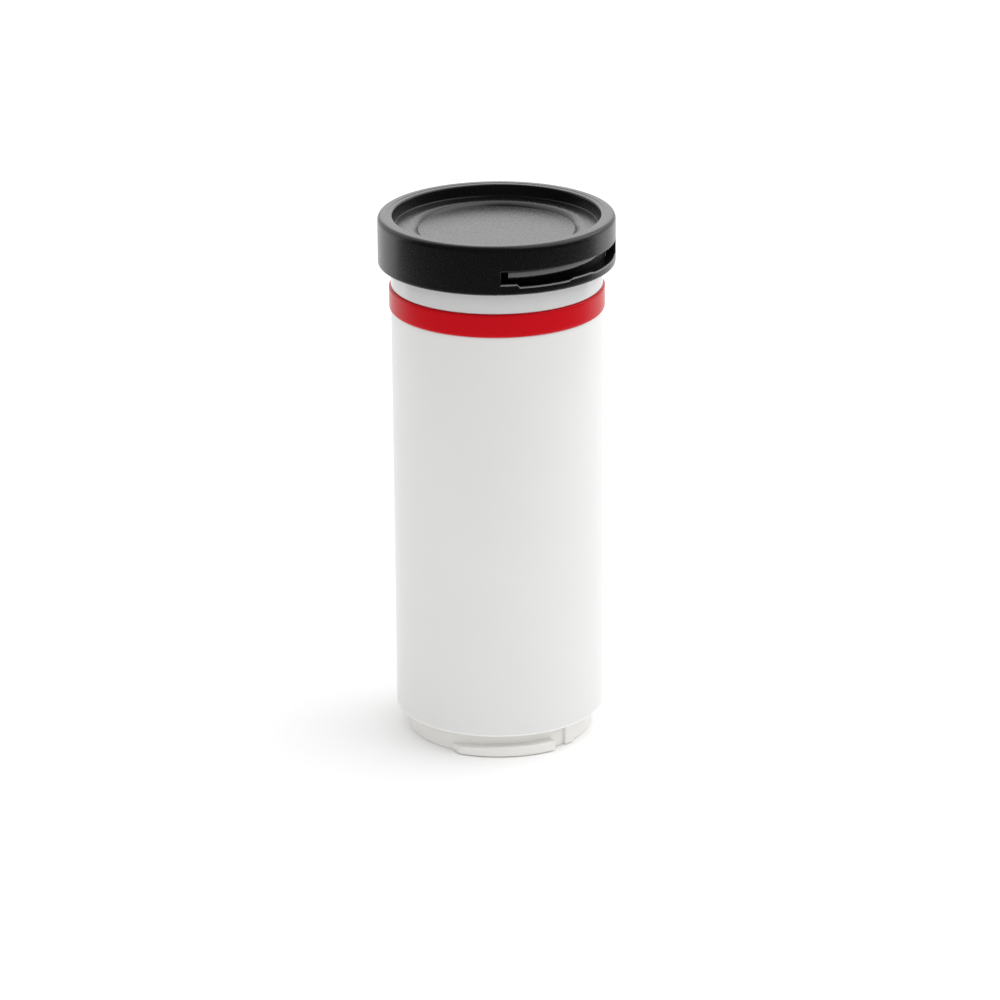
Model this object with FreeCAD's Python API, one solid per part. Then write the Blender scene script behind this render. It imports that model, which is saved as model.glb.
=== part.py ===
import FreeCAD, Part
import math
import os

# Pocket colour reader: a white tube with a measuring nose on top, a twist-on lid
# with a white reference tile inside, and a rear cap that it stands on.
# Millimetres, +Z up, origin on the tube's axis at the foot plane, front is -Y.
# Angles around the axis are degrees from the front (-Y) towards +X.

V = FreeCAD.Vector
ORIGIN = V(0, 0, 0)
AXIS_Y = V(0, 1, 0)
AXIS_Z = V(0, 0, 1)

# Overall sizes
BODY_D = 34.0
TUBE_WALL = 1.8
TUBE_LEN = 68.0
RING_H = 3.8
RING_PROUD = 0.3
NECK_H = 3.6
SPIGOT_H = 3.8

# Fits and clearances
SLIP = 0.1           # parts of one assembly that slide into each other
RUN = 0.25           # parts that move past each other
SEAT = 0.1           # lid above the shoulder it closes on
KEY_PLAY = 0.2       # each side of a key in its notch
SCREW_PLAY = 0.15    # screw shank in a clearance hole
THREAD_PLAY = 0.03   # screw shank in its pilot hole
ROOT = 0.5           # how far an added form reaches into what carries it
OVER = 1.0           # how far a cutter reaches past the face it opens

# Rounded edges
SHARP_EDGE = 0.15
FINE_EDGE = 0.25
SOFT_EDGE = 0.35
LID_EDGE = 0.8

# Stack along the axis
BODY_R = BODY_D / 2
TUBE_IN = BODY_R - TUBE_WALL
SPIGOT_R = TUBE_IN - SLIP
TUBE_Z0 = SPIGOT_H
TUBE_Z1 = TUBE_Z0 + TUBE_LEN
RING_Z1 = TUBE_Z1 + RING_H
SHOULDER_Z = RING_Z1 + NECK_H
NOSE_Z1 = SHOULDER_Z + SPIGOT_H

# Bayonet: two lugs and two stop ribs on each end of the reader
LUG_PROUD = 1.4
LUG_INSET = 0.45     # from the free end
LUG_H = 1.4
LUG_ARC = 57.0       # of its outer face
LUG_SLANT_ARC = 7.5  # by which the lead end runs out to its root
LUG_RAMP_ARC = 30.0
LUG_RAMP_DROP = 0.6
RIB_PROUD = 0.55
RIB_GAP_ARC = 10.0
RIB_ARC = 7.3
RIB_INSET = 0.1
LUG_R = SPIGOT_R + LUG_PROUD
RIB_R = SPIGOT_R + RIB_PROUD
REAR_LUG_START = -24.0
NOSE_LUG_START = -9.0

# Lid
LID_CLEAR = 0.3      # ceiling above the nose
LID_FLOOR = 1.55
LID_WALL = 1.6
DISH_DEPTH = 1.95
RIM_W = 2.35
DISH_DRAFT = 0.3
DISC_STEP = 0.35
DISC_LEDGE_W = 2.35
DISC_SLOPE_W = 1.5
TRACK_WALL = 0.55
LIP_RUN = 0.57       # lip past the lug's flank
WINDOW_HEAD = 0.23   # below the ceiling
TRACK_R = LUG_R + RUN
TRACK_OUT = TRACK_R + TRACK_WALL
SKIRT_IN = TRACK_OUT + SLIP
LID_R = SKIRT_IN + LID_WALL
LID_Z0 = SHOULDER_Z + SEAT
CEILING_Z = NOSE_Z1 + LID_CLEAR
DISC_Z = CEILING_Z + LID_FLOOR
DISH_Z = DISC_Z + DISC_STEP
LID_Z1 = DISH_Z + DISH_DEPTH
DISH_R = LID_R - RIM_W
DISC_EDGE_R = DISH_R - DISH_DRAFT - DISC_LEDGE_W
DISC_R = DISC_EDGE_R - DISC_SLOPE_W
LIP_IN = SPIGOT_R + RUN
LIP_H = SPIGOT_H - LUG_INSET - LUG_H - SEAT - LIP_RUN

# Sill of a lid window above the lip, as (angle, rise): raised at both grips
END_RISE = 0.47
GRIP_RISE = 0.25
SILL = [(2.0, END_RISE), (9.5, END_RISE), (11.0, 0.0), (37.0, 0.0),
        (40.0, GRIP_RISE), (52.0, GRIP_RISE), (55.0, 0.0), (88.0, 0.0)]
LIP_START = SILL[0][0]
LIP_END = SILL[-1][0]

# Reference tile under the lid
CARRIER_H = 2.3
CARRIER_WEB = 0.55
CARRIER_WALL = 1.9
CARRIER_PLAY = 0.4
TILE_T = 0.95
TILE_SUNK = 0.05
KEY_W = 3.0
KEY_H = 1.1
KEY_INSET = 0.9
RIVET_R = 1.45
RIVET_HEAD_R = 2.7
RIVET_HEAD_T = 0.5
RIVET_GRIP = 0.75
CARRIER_Z1 = CEILING_Z - SEAT
CARRIER_Z0 = CARRIER_Z1 - CARRIER_H
TILE_Z0 = CARRIER_Z0 + TILE_SUNK
TILE_Z1 = TILE_Z0 + TILE_T

# Measuring nose and neck
NOSE_RIM = 2.1
NOSE_WALL = 1.8
NOSE_FLOOR_T = 2.1
PORT_GAP = 0.7       # recess floor below the tile carrier
PORT_R = 4.2
PORT_FLARE = 0.8
GLASS_R = 5.5
GLASS_T = 1.0
SEAL_W = 1.6
SEAL_INSET = 0.4
SEAL_GAP = 0.15
NECK_FLOOR = 0.6
NECK_WEB = 1.6
NECK_WEB_W = 4.6
SLEEVE_WALL = 1.4
SLEEVE_LEN = 9.0
PILOT_FLOOR = 0.4    # left over a blind pilot hole
RECESS_R = SPIGOT_R - NOSE_RIM
RECESS_Z = CARRIER_Z0 - PORT_GAP
NOSE_CAVITY_Z = RECESS_Z - NOSE_FLOOR_T
NOSE_Z0 = RING_Z1 + NECK_FLOOR
NECK_BORE = SPIGOT_R - NECK_WEB_W
SLEEVE_IN = SPIGOT_R - SLEEVE_WALL
WEB_Z0 = NOSE_Z0 - NECK_WEB
CARRIER_R = RECESS_R - CARRIER_PLAY
TILE_R = CARRIER_R - CARRIER_WALL - SLIP
KEY_OUT = SPIGOT_R - KEY_INSET

# Optics: the lamps sit in the block and aim at the middle of the nose's rim
BLOCK_LEN = 11.5
BLOCK_PLAY = 0.2
LED_COUNT = 6
LED_R = 1.45
LED_LEN = 3.6
LED_INSET = 1.18     # tail of a lamp inside the block's side
LED_DROP = 4.12      # tail of a lamp below the block's top
LED_LEG_R = 0.22
LED_LEG_LEN = 1.6
LED_LEG_PITCH = 1.3
LENS_R = 3.1
LENS_EDGE = 0.8
LENS_CROWN = 0.7
LENS_SEAT = 5.5      # above the block's lower face
LENS_RING_H = 0.9
LENS_RING_LAND = 0.3
SIGHT_R = 2.2
SIGHT_FLARE_H = 2.5
SENSOR_W = 2.6
SENSOR_H = 1.0
SENSOR_EYE_H = 0.15
SENSOR_BOARD_T = 1.2
SENSOR_BOARD_INSET = 0.3
SENSOR_SCREW_INSET = 2.8
SENSOR_SCREW_GRIP = 3.6
BLOCK_R = NECK_BORE - BLOCK_PLAY
BLOCK_Z1 = NOSE_CAVITY_Z - SLIP
BLOCK_Z0 = BLOCK_Z1 - BLOCK_LEN
LED_TAIL_R = BLOCK_R - LED_INSET
LED_TAIL_Z = BLOCK_Z1 - LED_DROP
LENS_Z1 = BLOCK_Z0 + LENS_SEAT
FLANGE_R = SPIGOT_R - NOSE_WALL - SLIP
SENSOR_BOARD_R = BLOCK_R - SENSOR_BOARD_INSET
SENSOR_BOARD_Z0 = BLOCK_Z0 - SENSOR_BOARD_T

# Rear cap
PLUG_LEN = 5.2       # into the tube
CAP_WALL = 1.7
FOOT_WALL = 1.9
CAP_FLOOR_Z0 = 1.4
CAP_FLOOR_T = 1.8
BOSS_R = 2.0
PLUG_Z1 = TUBE_Z0 + PLUG_LEN
CAP_FLOOR_Z1 = CAP_FLOOR_Z0 + CAP_FLOOR_T
CAP_IN = SPIGOT_R - CAP_WALL
FOOT_IN = SPIGOT_R - FOOT_WALL

# Measure button on the back: cap, flange and stem, over a switch in a guard
BUTTON_R = 4.6
BUTTON_PROUD = 0.5
BUTTON_TRAVEL = 0.5
BUTTON_RUN = 0.3
BUTTON_FLANGE = 1.0
BUTTON_FLANGE_T = 1.2
BUTTON_BACK = 0.3    # flange behind the tube's inner wall
BUTTON_DISH = 0.35
BUTTON_DISH_R = 22.0
STEM_R = 2.0
STEM_GAP = 0.05
SWITCH_W = 6.0
SWITCH_H = 3.5
WELL_FLOOR = 1.5
WELL_GAP = 0.1       # plunger above the well's floor when pressed
PLUNGER_R = 1.7
PLUNGER_OUT = 1.0
GUARD_H = 8.1
GUARD_GAP = 0.6      # guard below the pressed flange
GUARD_ROOM = 0.5     # round the switch
GUARD_WALL = 0.9
GUARD_ROOF = 1.2
BUTTON_FLANGE_R = BUTTON_R + BUTTON_FLANGE
BUTTON_Y1 = math.sqrt(TUBE_IN ** 2 - BUTTON_FLANGE_R ** 2) - BUTTON_BACK
BUTTON_Y0 = BUTTON_Y1 - BUTTON_FLANGE_T
GUARD_Y1 = BUTTON_Y0 - BUTTON_TRAVEL - GUARD_GAP

# Main board: as far inside the tube's back as the button and guard need
BOARD_T = 1.2
BOARD_MARGIN = 0.2
BOARD_LIFT = 3.4
BOARD_HEAD = 1.5
BOARD_FRONT_ROOM = 2.2
BOARD_Y1 = GUARD_Y1 - GUARD_H
BOARD_Y0 = BOARD_Y1 - BOARD_T
PLUNGER_Y1 = BOARD_Y1 + SWITCH_H + PLUNGER_OUT

# Chassis
DECK_T = 1.6
DECK_PLAY = 0.4
COLUMN_INSET = 4.2
COLUMN_W = 3.6
COLUMN_D = 4.4
TRAY_T = 1.2
TRAY_OVER = 2.0      # above the cell
KEY_RIB_W = 1.2
KEY_RIB_H = 1.0
POST_R = 1.6
POST_SINK = 0.1      # into the sleeve
POST_BORE = 7.0
POST_GRIP = 6.0
RIBBON_ROOM = 1.7
COLUMN_BORE = 5.0
COLUMN_GRIP = 4.5
BOARD_BORE = 3.2
BOARD_GRIP = 3.0
CHASSIS_R = TUBE_IN - DECK_PLAY
COLUMN_Y = BOARD_Y0 - COLUMN_D / 2
COLUMN_X = math.sqrt((TUBE_IN - COLUMN_INSET) ** 2 - COLUMN_Y ** 2)
TRAY_Y1 = BOARD_Y0 - BOARD_FRONT_ROOM
TRAY_Y0 = TRAY_Y1 - TRAY_T
BASE_DECK_Z = PLUG_Z1
TOP_DECK_Z1 = SENSOR_BOARD_Z0 - RIBBON_ROOM
TOP_DECK_Z0 = TOP_DECK_Z1 - DECK_T
POST_Y = SLEEVE_IN - POST_R + POST_SINK
BOARD_W = 2 * COLUMN_X + COLUMN_W - 2 * BOARD_MARGIN
BOARD_Z0 = BASE_DECK_Z + DECK_T + BOARD_LIFT
BOARD_Z1 = TOP_DECK_Z0 - BOARD_HEAD
BUTTON_DOWN = 14.5
BUTTON_Z = BOARD_Z1 - BUTTON_DOWN

# Parts on the main board
TONGUE_W = 12.0
TONGUE_LIFT = 1.3
TONGUE_PLAY = 0.5
TONGUE_Z0 = CAP_FLOOR_Z1 + TONGUE_LIFT
BOARD_SCREW_LOW = 4.0
BOARD_SCREW_HIGH = 3.0
RADIO_W = 11.0
RADIO_H = 10.0
RADIO_T = 0.8
RADIO_CAN_T = 2.4
RADIO_CAN_SIDE = 0.7
RADIO_CAN_TOP = 0.5
RADIO_ANTENNA = 2.5
RADIO_LIFT = 3.0
RADIO_Z0 = BOARD_Z0 + RADIO_LIFT
CHIP_X = 2.8
CHIP_T = 0.9
CHIP_PITCH = 5.2
CHIP_LIFT = 6.0
CHIPS = [(4.0, 4.0), (3.0, 2.4), (4.4, 3.2), (1.6, 3.0)]
USB_W = 7.5
USB_D = 2.7
USB_LEN = 6.0
USB_WALL = 0.4
USB_CORNER = 0.5
USB_BACK = 1.0
USB_TONGUE_T = 0.5
USB_TONGUE_INSET = 0.7
USB_PLAY = 0.3
USB_INSET = 0.5      # mouth above the cap floor's lower face
USB_Z0 = CAP_FLOOR_Z0 + USB_INSET
RIBBON_W = 6.0
RIBBON_T = 0.24
RIBBON_RUN = 1.5
RIBBON_END = 1.0
RIBBON_PLUG_W = 7.0
RIBBON_PLUG_H = 3.5
RIBBON_PLUG_T = 1.2
RIBBON_PLUG_D = 2.8
RIBBON_BACK = 0.8
RIBBON_SLOT = 1.0
STATUS_R = 1.2
STATUS_UP = 8.1
STATUS_PROUD = 0.1
STATUS_COLLAR_R = 2.2
STATUS_COLLAR_T = 1.2
STATUS_COLLAR_GAP = 0.05
STATUS_LED_W = 1.6
STATUS_LED_H = 1.0
STATUS_LED_T = 0.8
STATUS_LED_GAP = 0.2
STATUS_Z = BUTTON_Z + STATUS_UP

# Battery: as thick as the room in front of the tray allows
PAD_T = 0.8
PAD_INSET = 1.0
PAD_SHORT = 2.0
CELL_PLAY = 0.2
CELL_CLEAR = 2.3     # cell's corners inside the tube's wall
CELL_HEAD = 12.5     # room for the plug over the cell
CELL_ROUND = 1.2
CELL_FOLD = 1.2
CELL_FOLD_INSET = 2.0
PLUG_W = 6.4
PLUG_D = 2.0
PLUG_H = 4.0
PLUG_UP = 4.0
LEAD_R = 0.5
LEAD_PITCH = 2.6
LEAD_BEND = 1.8
CELL_W = 2 * COLUMN_X - COLUMN_W - 2 * CELL_PLAY
CELL_Z0 = BOARD_Z0
CELL_Z1 = BOARD_Z1 - CELL_HEAD
CELL_Y1 = TRAY_Y0 - PAD_T
CELL_Y0 = -math.sqrt((TUBE_IN - CELL_CLEAR) ** 2 - (CELL_W / 2) ** 2)
PLUG_Z0 = CELL_Z1 + PLUG_UP
PLUG_Y0 = BOARD_Y0 - PLUG_D

# Screws: shank radius, head radius, head height, and the cross recess
SMALL_SCREW = (0.7, 1.4, 0.7)
LARGE_SCREW = (0.8, 1.65, 0.8)
CROSS_W = 0.3
CROSS_SPAN = 0.6     # of the head
CROSS_DEPTH = 0.5    # of the head
HEAD_ROUND = 0.4     # of the head


def at(radius, angle, z):
    """Point at a radius and an angle from the front."""
    turn = math.radians(angle)
    return V(radius * math.sin(turn), -radius * math.cos(turn), z)


def disc(radius, z0, z1, x=0.0, y=0.0):
    """Cylinder along the axis."""
    return Part.makeCylinder(radius, z1 - z0, V(x, y, z0))


def ring(outer, inner, z0, z1):
    """Plain tube along the axis."""
    return disc(outer, z0, z1).cut(disc(inner, z0 - OVER, z1 + OVER))


def rod_y(radius, y0, y1, x, z):
    """Cylinder along Y."""
    return Part.makeCylinder(radius, y1 - y0, V(x, y0, z), AXIS_Y)


def block(x0, x1, y0, y1, z0, z1):
    """Box between two corners."""
    return Part.makeBox(x1 - x0, y1 - y0, z1 - z0, V(x0, y0, z0))


def sector(outer, inner, z0, z1, start, end):
    """Arc of a ring between two angles."""
    wedge = Part.makeCylinder(outer, z1 - z0, V(0, 0, z0), AXIS_Z, end - start)
    wedge.rotate(ORIGIN, AXIS_Z, start - 90)
    return wedge.cut(disc(inner, z0 - OVER, z1 + OVER))


def turned(shape, angle):
    """Copy turned about the axis."""
    copy = shape.copy()
    copy.rotate(ORIGIN, AXIS_Z, angle)
    return copy


def joined(shapes):
    """One solid from overlapping pieces."""
    return shapes[0].multiFuse(shapes[1:]).removeSplitter()


def without(shape, cutters):
    """Shape with every cutter taken out."""
    return shape.cut(cutters)


def lathe(points):
    """Solid turned from a half profile of (radius, z) points."""
    corners = [V(r, 0, z) for r, z in points]
    face = Part.Face(Part.makePolygon(corners + corners[:1]))
    return face.revolve(ORIGIN, AXIS_Z, 360)


def rim_edges(shape, radius, z):
    """Circular edges of one radius at one height."""
    found = []
    for edge in shape.Edges:
        curve = edge.Curve
        if isinstance(curve, Part.Circle):
            if abs(curve.Radius - radius) < 1e-4 and abs(curve.Center.z - z) < 1e-4:
                found.append(edge)
    return found


def softened(shape, size, rims):
    """Round the listed (radius, z) rims."""
    edges = []
    for radius, z in rims:
        edges += rim_edges(shape, radius, z)
    return shape.makeFillet(size, edges)


def screw(sizes, length):
    """Pan-head screw along +Z, shank upwards from the head's seat at z = 0."""
    shank_r, head_r, head_h = sizes
    head = softened(disc(head_r, -head_h, 0), head_h * HEAD_ROUND, [(head_r, -head_h)])
    body = joined([head, disc(shank_r, -head_h / 2, length)])
    half = head_r * CROSS_SPAN
    slot = CROSS_W / 2
    floor_z = head_h * (CROSS_DEPTH - 1)
    cross = [block(-half, half, -slot, slot, -head_h, floor_z),
             block(-slot, slot, -half, half, -head_h, floor_z)]
    return without(body, cross)


def placed(shape, position, direction=AXIS_Z):
    """Copy moved to a position with its +Z turned to a direction."""
    copy = shape.copy()
    copy.Placement = FreeCAD.Placement(position, FreeCAD.Rotation(AXIS_Z, direction))
    return copy


def save(name, shape):
    """Write one piece, or one group of like pieces."""
    if isinstance(shape, list):
        shape = Part.makeCompound(shape)
    if not shape.isValid():
        raise ValueError(name + " is not a sound solid")
    shape.exportStep("parts/" + name + ".step")


def lead_end(z0, z1):
    """What is cut off the lead end of a lug so that it slants from its root to its outer face."""
    root = at(SPIGOT_R, -LUG_SLANT_ARC, z0)
    tip = at(LUG_R, 0, z0)
    along = (tip - root).normalize()
    aside = AXIS_Z.cross(along) * (LUG_PROUD + OVER)
    start = root - along * OVER
    end = tip + along * OVER
    corners = [start, end, end - aside, start - aside]
    face = Part.Face(Part.makePolygon(corners + corners[:1]))
    return face.extrude(V(0, 0, z1 - z0))


def bayonet_lug():
    """Lug with a lead-in ramp and a slanted end, free end at z = 0, lead end at the front."""
    z0 = LUG_INSET
    z1 = LUG_INSET + LUG_H
    lug = sector(LUG_R, SPIGOT_R - ROOT, z0, z1, -LUG_SLANT_ARC, LUG_ARC)
    ramp_run = math.radians(LUG_RAMP_ARC) * LUG_R
    front = -LUG_R - OVER
    depth = LUG_PROUD + ROOT + LUG_R * (1 - math.cos(math.radians(LUG_RAMP_ARC))) + OVER
    ramp = Part.makeBox(2 * ramp_run, depth, LUG_H + OVER, V(-2 * ramp_run, front, 0))
    ramp.rotate(ORIGIN, AXIS_Y, -math.degrees(math.atan2(LUG_RAMP_DROP, ramp_run)))
    ramp.translate(V(0, 0, z1))
    ramp.rotate(ORIGIN, AXIS_Z, LUG_RAMP_ARC - LUG_SLANT_ARC)
    return without(lug, [ramp, lead_end(z0, z1)])


def bayonet_rib():
    """Full-height rib that stops the lid at the end of its turn."""
    start = LUG_ARC + RIB_GAP_ARC
    return sector(RIB_R, SPIGOT_R - ROOT, RIB_INSET, SPIGOT_H, start, start + RIB_ARC)


def bayonet_set():
    """Both lugs and both ribs of one end, free end at z = 0."""
    one_side = [bayonet_lug(), bayonet_rib()]
    return one_side + [turned(shape, 180) for shape in one_side]


def rear_bayonet():
    """Bayonet of the rear cap, free end down."""
    return [turned(shape, REAR_LUG_START) for shape in bayonet_set()]


def nose_bayonet():
    """Bayonet of the nose: the same set turned over, free end up."""
    pieces = []
    for shape in bayonet_set():
        shape.rotate(ORIGIN, AXIS_Y, 180)
        shape.translate(V(0, 0, NOSE_Z1))
        pieces.append(turned(shape, NOSE_LUG_START))
    return pieces


def rear_screw_spots():
    """Where the rear cap is screwed to the chassis columns."""
    return [(-COLUMN_X, COLUMN_Y), (COLUMN_X, COLUMN_Y)]


def nose_screw_spots():
    """Where the neck web is screwed to the nose floor."""
    reach = (NECK_BORE + SLEEVE_IN) / 2
    spots = []
    for index in range(4):
        angle = math.radians(45 + 90 * index)
        spots.append((reach * math.cos(angle), reach * math.sin(angle)))
    return spots


def post_spots():
    """Where the chassis hangs from the neck."""
    return [(0.0, -POST_Y), (0.0, POST_Y)]


def board_screw_spots():
    """Where the main board is screwed to the columns, as (x, z)."""
    heights = (BOARD_Z0 + BOARD_SCREW_LOW, BOARD_Z1 - BOARD_SCREW_HIGH)
    return [(x, z) for x in (-COLUMN_X, COLUMN_X) for z in heights]


def sensor_screw_spots():
    """Where the sensor board is screwed to the optics block."""
    reach = BLOCK_R - SENSOR_SCREW_INSET
    return [(-reach, 0.0), (reach, 0.0)]


# Outer shell

def body_tube():
    """White tube with key ribs inside and the button and light holes at the back."""
    tube = ring(BODY_R, TUBE_IN, TUBE_Z0, TUBE_Z1)
    tube = softened(tube, SOFT_EDGE, [(BODY_R, TUBE_Z0)])
    tube = softened(tube, SHARP_EDGE, [(BODY_R, TUBE_Z1)])
    pieces = [tube]
    for side in (-1, 1):
        x0, x1 = sorted((side * (TUBE_IN - KEY_RIB_H), side * (TUBE_IN + TUBE_WALL / 2)))
        pieces.append(block(x0, x1, -KEY_RIB_W / 2, KEY_RIB_W / 2, PLUG_Z1 + SLIP, TOP_DECK_Z1))
    holes = [rod_y(BUTTON_R + BUTTON_RUN, 0, BODY_R + OVER, 0, BUTTON_Z),
             rod_y(STATUS_R + SLIP, 0, BODY_R + OVER, 0, STATUS_Z)]
    return without(joined(pieces), holes)


def red_ring():
    """Coloured ring between the tube and the neck."""
    outer = BODY_R + RING_PROUD
    band = ring(outer, TUBE_IN, TUBE_Z1, RING_Z1)
    return softened(band, SOFT_EDGE, [(outer, TUBE_Z1), (outer, RING_Z1)])


def neck_ring():
    """Glossy neck: outer ring, floor and web, and a sleeve down into the tube."""
    outer = ring(BODY_R, TUBE_IN, RING_Z1, SHOULDER_Z)
    outer = softened(outer, FINE_EDGE, [(BODY_R, SHOULDER_Z), (BODY_R, RING_Z1)])
    pieces = [outer,
              ring(TUBE_IN + TUBE_WALL / 2, NECK_BORE, RING_Z1, NOSE_Z0),
              ring(SPIGOT_R, NECK_BORE, WEB_Z0, NOSE_Z0),
              ring(SPIGOT_R, SLEEVE_IN, RING_Z1 - SLEEVE_LEN, NOSE_Z0)]
    for x, y in post_spots():
        pieces.append(disc(POST_R, TOP_DECK_Z1, NOSE_Z0 - NECK_WEB / 2, x, y))
    hole_r = SMALL_SCREW[0] + SCREW_PLAY
    pilot_r = LARGE_SCREW[0] + THREAD_PLAY
    holes = [disc(hole_r, WEB_Z0 - OVER, NOSE_Z0 + OVER, x, y) for x, y in nose_screw_spots()]
    bore_z = TOP_DECK_Z1 + POST_BORE
    holes += [disc(pilot_r, TOP_DECK_Z1 - OVER, bore_z, x, y) for x, y in post_spots()]
    return without(joined(pieces), holes)


def measuring_nose():
    """Black nose: bayonet spigot, tile recess, port and the seat of its window."""
    core = disc(SPIGOT_R, NOSE_Z0, NOSE_Z1)
    core = softened(core, FINE_EDGE, [(SPIGOT_R, NOSE_Z1)])
    seat_z = NOSE_CAVITY_Z + GLASS_T + SLIP
    port = Part.makeCone(PORT_R, PORT_R + PORT_FLARE, RECESS_Z - seat_z, V(0, 0, seat_z))
    cuts = [disc(RECESS_R, RECESS_Z, NOSE_Z1 + OVER),
            disc(SPIGOT_R - NOSE_WALL, NOSE_Z0 - OVER, NOSE_CAVITY_Z),
            disc(GLASS_R + SLIP, NOSE_CAVITY_Z - OVER, seat_z),
            port]
    notch_w = KEY_W / 2 + KEY_PLAY
    notch_z = CARRIER_Z1 - KEY_H - KEY_PLAY
    cuts.append(block(-KEY_OUT - RUN, KEY_OUT + RUN, -notch_w, notch_w, notch_z, NOSE_Z1 + OVER))
    cuts += [disc(SMALL_SCREW[0] + THREAD_PLAY, NOSE_CAVITY_Z - OVER, RECESS_Z - PILOT_FLOOR, x, y)
             for x, y in nose_screw_spots()]
    return without(joined([core] + nose_bayonet()), cuts)


def rear_cap():
    """Rear cap: foot rim with the bayonet, floor with the socket slot, plug into the tube."""
    core = disc(SPIGOT_R, 0, PLUG_Z1)
    core = softened(core, FINE_EDGE, [(SPIGOT_R, 0)])
    core = without(core, [disc(FOOT_IN, -OVER, CAP_FLOOR_Z0), disc(CAP_IN, CAP_FLOOR_Z1, PLUG_Z1 + OVER)])
    pieces = [core] + rear_bayonet()
    shank, head, head_h = LARGE_SCREW
    slot_w = USB_W / 2 + USB_PLAY
    slot_y0 = BOARD_Y1 - USB_PLAY
    slot_y1 = BOARD_Y1 + USB_D + USB_PLAY
    holes = [block(-slot_w, slot_w, slot_y0, slot_y1, 0, CAP_FLOOR_Z1 + OVER)]
    for x, y in rear_screw_spots():
        pieces.append(disc(BOSS_R, CAP_FLOOR_Z0, PLUG_Z1, x, y))
        holes.append(disc(shank + SCREW_PLAY, 0, PLUG_Z1 + OVER, x, y))
        holes.append(disc(head + SCREW_PLAY, 0, CAP_FLOOR_Z0 + head_h, x, y))
    return without(joined(pieces), holes)


# Lid and reference tile

def sill_section(start, end):
    """Part of a window between two sill points, through the skirt."""
    head_z = CEILING_Z - WINDOW_HEAD
    sill_z = LID_Z0 + LIP_H
    inner = SKIRT_IN - ROOT
    outer = LID_R + OVER
    if start[1] == end[1]:
        return sector(outer, inner, sill_z + start[1], head_z, start[0], end[0])
    wires = []
    for radius in (inner, outer):
        corners = [at(radius, start[0], sill_z + start[1]), at(radius, end[0], sill_z + end[1]),
                   at(radius, end[0], head_z), at(radius, start[0], head_z)]
        wires.append(Part.makePolygon(corners + corners[:1]))
    return Part.makeLoft(wires, True, True)


def lid_shell():
    """Lid: dished top, skirt, and two grip windows with a stepped sill."""
    shell = lathe([(0, CEILING_Z), (SKIRT_IN, CEILING_Z), (SKIRT_IN, LID_Z0), (LID_R, LID_Z0),
                   (LID_R, LID_Z1), (DISH_R, LID_Z1), (DISH_R - DISH_DRAFT, DISH_Z),
                   (DISC_EDGE_R, DISH_Z), (DISC_R, DISC_Z), (0, DISC_Z)])
    shell = softened(shell, LID_EDGE, [(LID_R, LID_Z1)])
    shell = softened(shell, SOFT_EDGE, [(DISH_R, LID_Z1)])
    shell = softened(shell, FINE_EDGE, [(LID_R, LID_Z0), (DISH_R - DISH_DRAFT, DISH_Z)])
    cuts = [disc(RIVET_R + SLIP / 2, CEILING_Z - OVER, CEILING_Z + RIVET_GRIP)]
    for start, end in zip(SILL, SILL[1:]):
        section = sill_section(start, end)
        cuts += [section, turned(section, 180)]
    return without(shell, cuts)


def lid_track():
    """Bayonet ring pressed into the lid: a thin wall with two inward lips."""
    wall = ring(TRACK_OUT, TRACK_R, LID_Z0, CEILING_Z)
    lip = sector(TRACK_R + TRACK_WALL / 2, LIP_IN, LID_Z0, LID_Z0 + LIP_H, LIP_START, LIP_END)
    return joined([wall, lip, turned(lip, 180)])


def tile_rivet():
    """Rivet that the tile carrier turns on."""
    head_z1 = CARRIER_Z1 - CARRIER_WEB - SEAT
    head_z0 = head_z1 - RIVET_HEAD_T
    head = softened(disc(RIVET_HEAD_R, head_z0, head_z1), SHARP_EDGE, [(RIVET_HEAD_R, head_z0)])
    return joined([head, disc(RIVET_R, head_z1 - RIVET_HEAD_T / 2, CEILING_Z + RIVET_GRIP - SLIP)])


def tile_carrier():
    """Holder of the tile; two keys stop it turning in the nose while the lid turns."""
    core = disc(CARRIER_R, CARRIER_Z0, CARRIER_Z1)
    core = softened(core, FINE_EDGE, [(CARRIER_R, CARRIER_Z0)])
    keys = []
    for side in (-1, 1):
        x0, x1 = sorted((side * (CARRIER_R - ROOT), side * KEY_OUT))
        keys.append(block(x0, x1, -KEY_W / 2, KEY_W / 2, CARRIER_Z1 - KEY_H, CARRIER_Z1))
    web_z = CARRIER_Z1 - CARRIER_WEB
    cuts = [disc(TILE_R + SLIP, CARRIER_Z0 - OVER, TILE_Z1),
            disc(RIVET_HEAD_R + RUN, CARRIER_Z0 - OVER, web_z),
            disc(RIVET_R + RUN, CARRIER_Z0 - OVER, CARRIER_Z1 + OVER)]
    return without(joined([core] + keys), cuts)


def white_tile():
    """Ceramic reference tile."""
    tile = disc(TILE_R, TILE_Z0, TILE_Z1)
    return softened(tile, SHARP_EDGE, [(TILE_R, TILE_Z0)])


# Optics

def lamp_poses():
    """Tail of each lamp and the direction from it to the sample point."""
    sample = V(0, 0, NOSE_Z1)
    poses = []
    for index in range(LED_COUNT):
        angle = 2 * math.pi * index / LED_COUNT
        tail = V(LED_TAIL_R * math.cos(angle), LED_TAIL_R * math.sin(angle), LED_TAIL_Z)
        poses.append((tail, (sample - tail).normalize()))
    return poses


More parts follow.
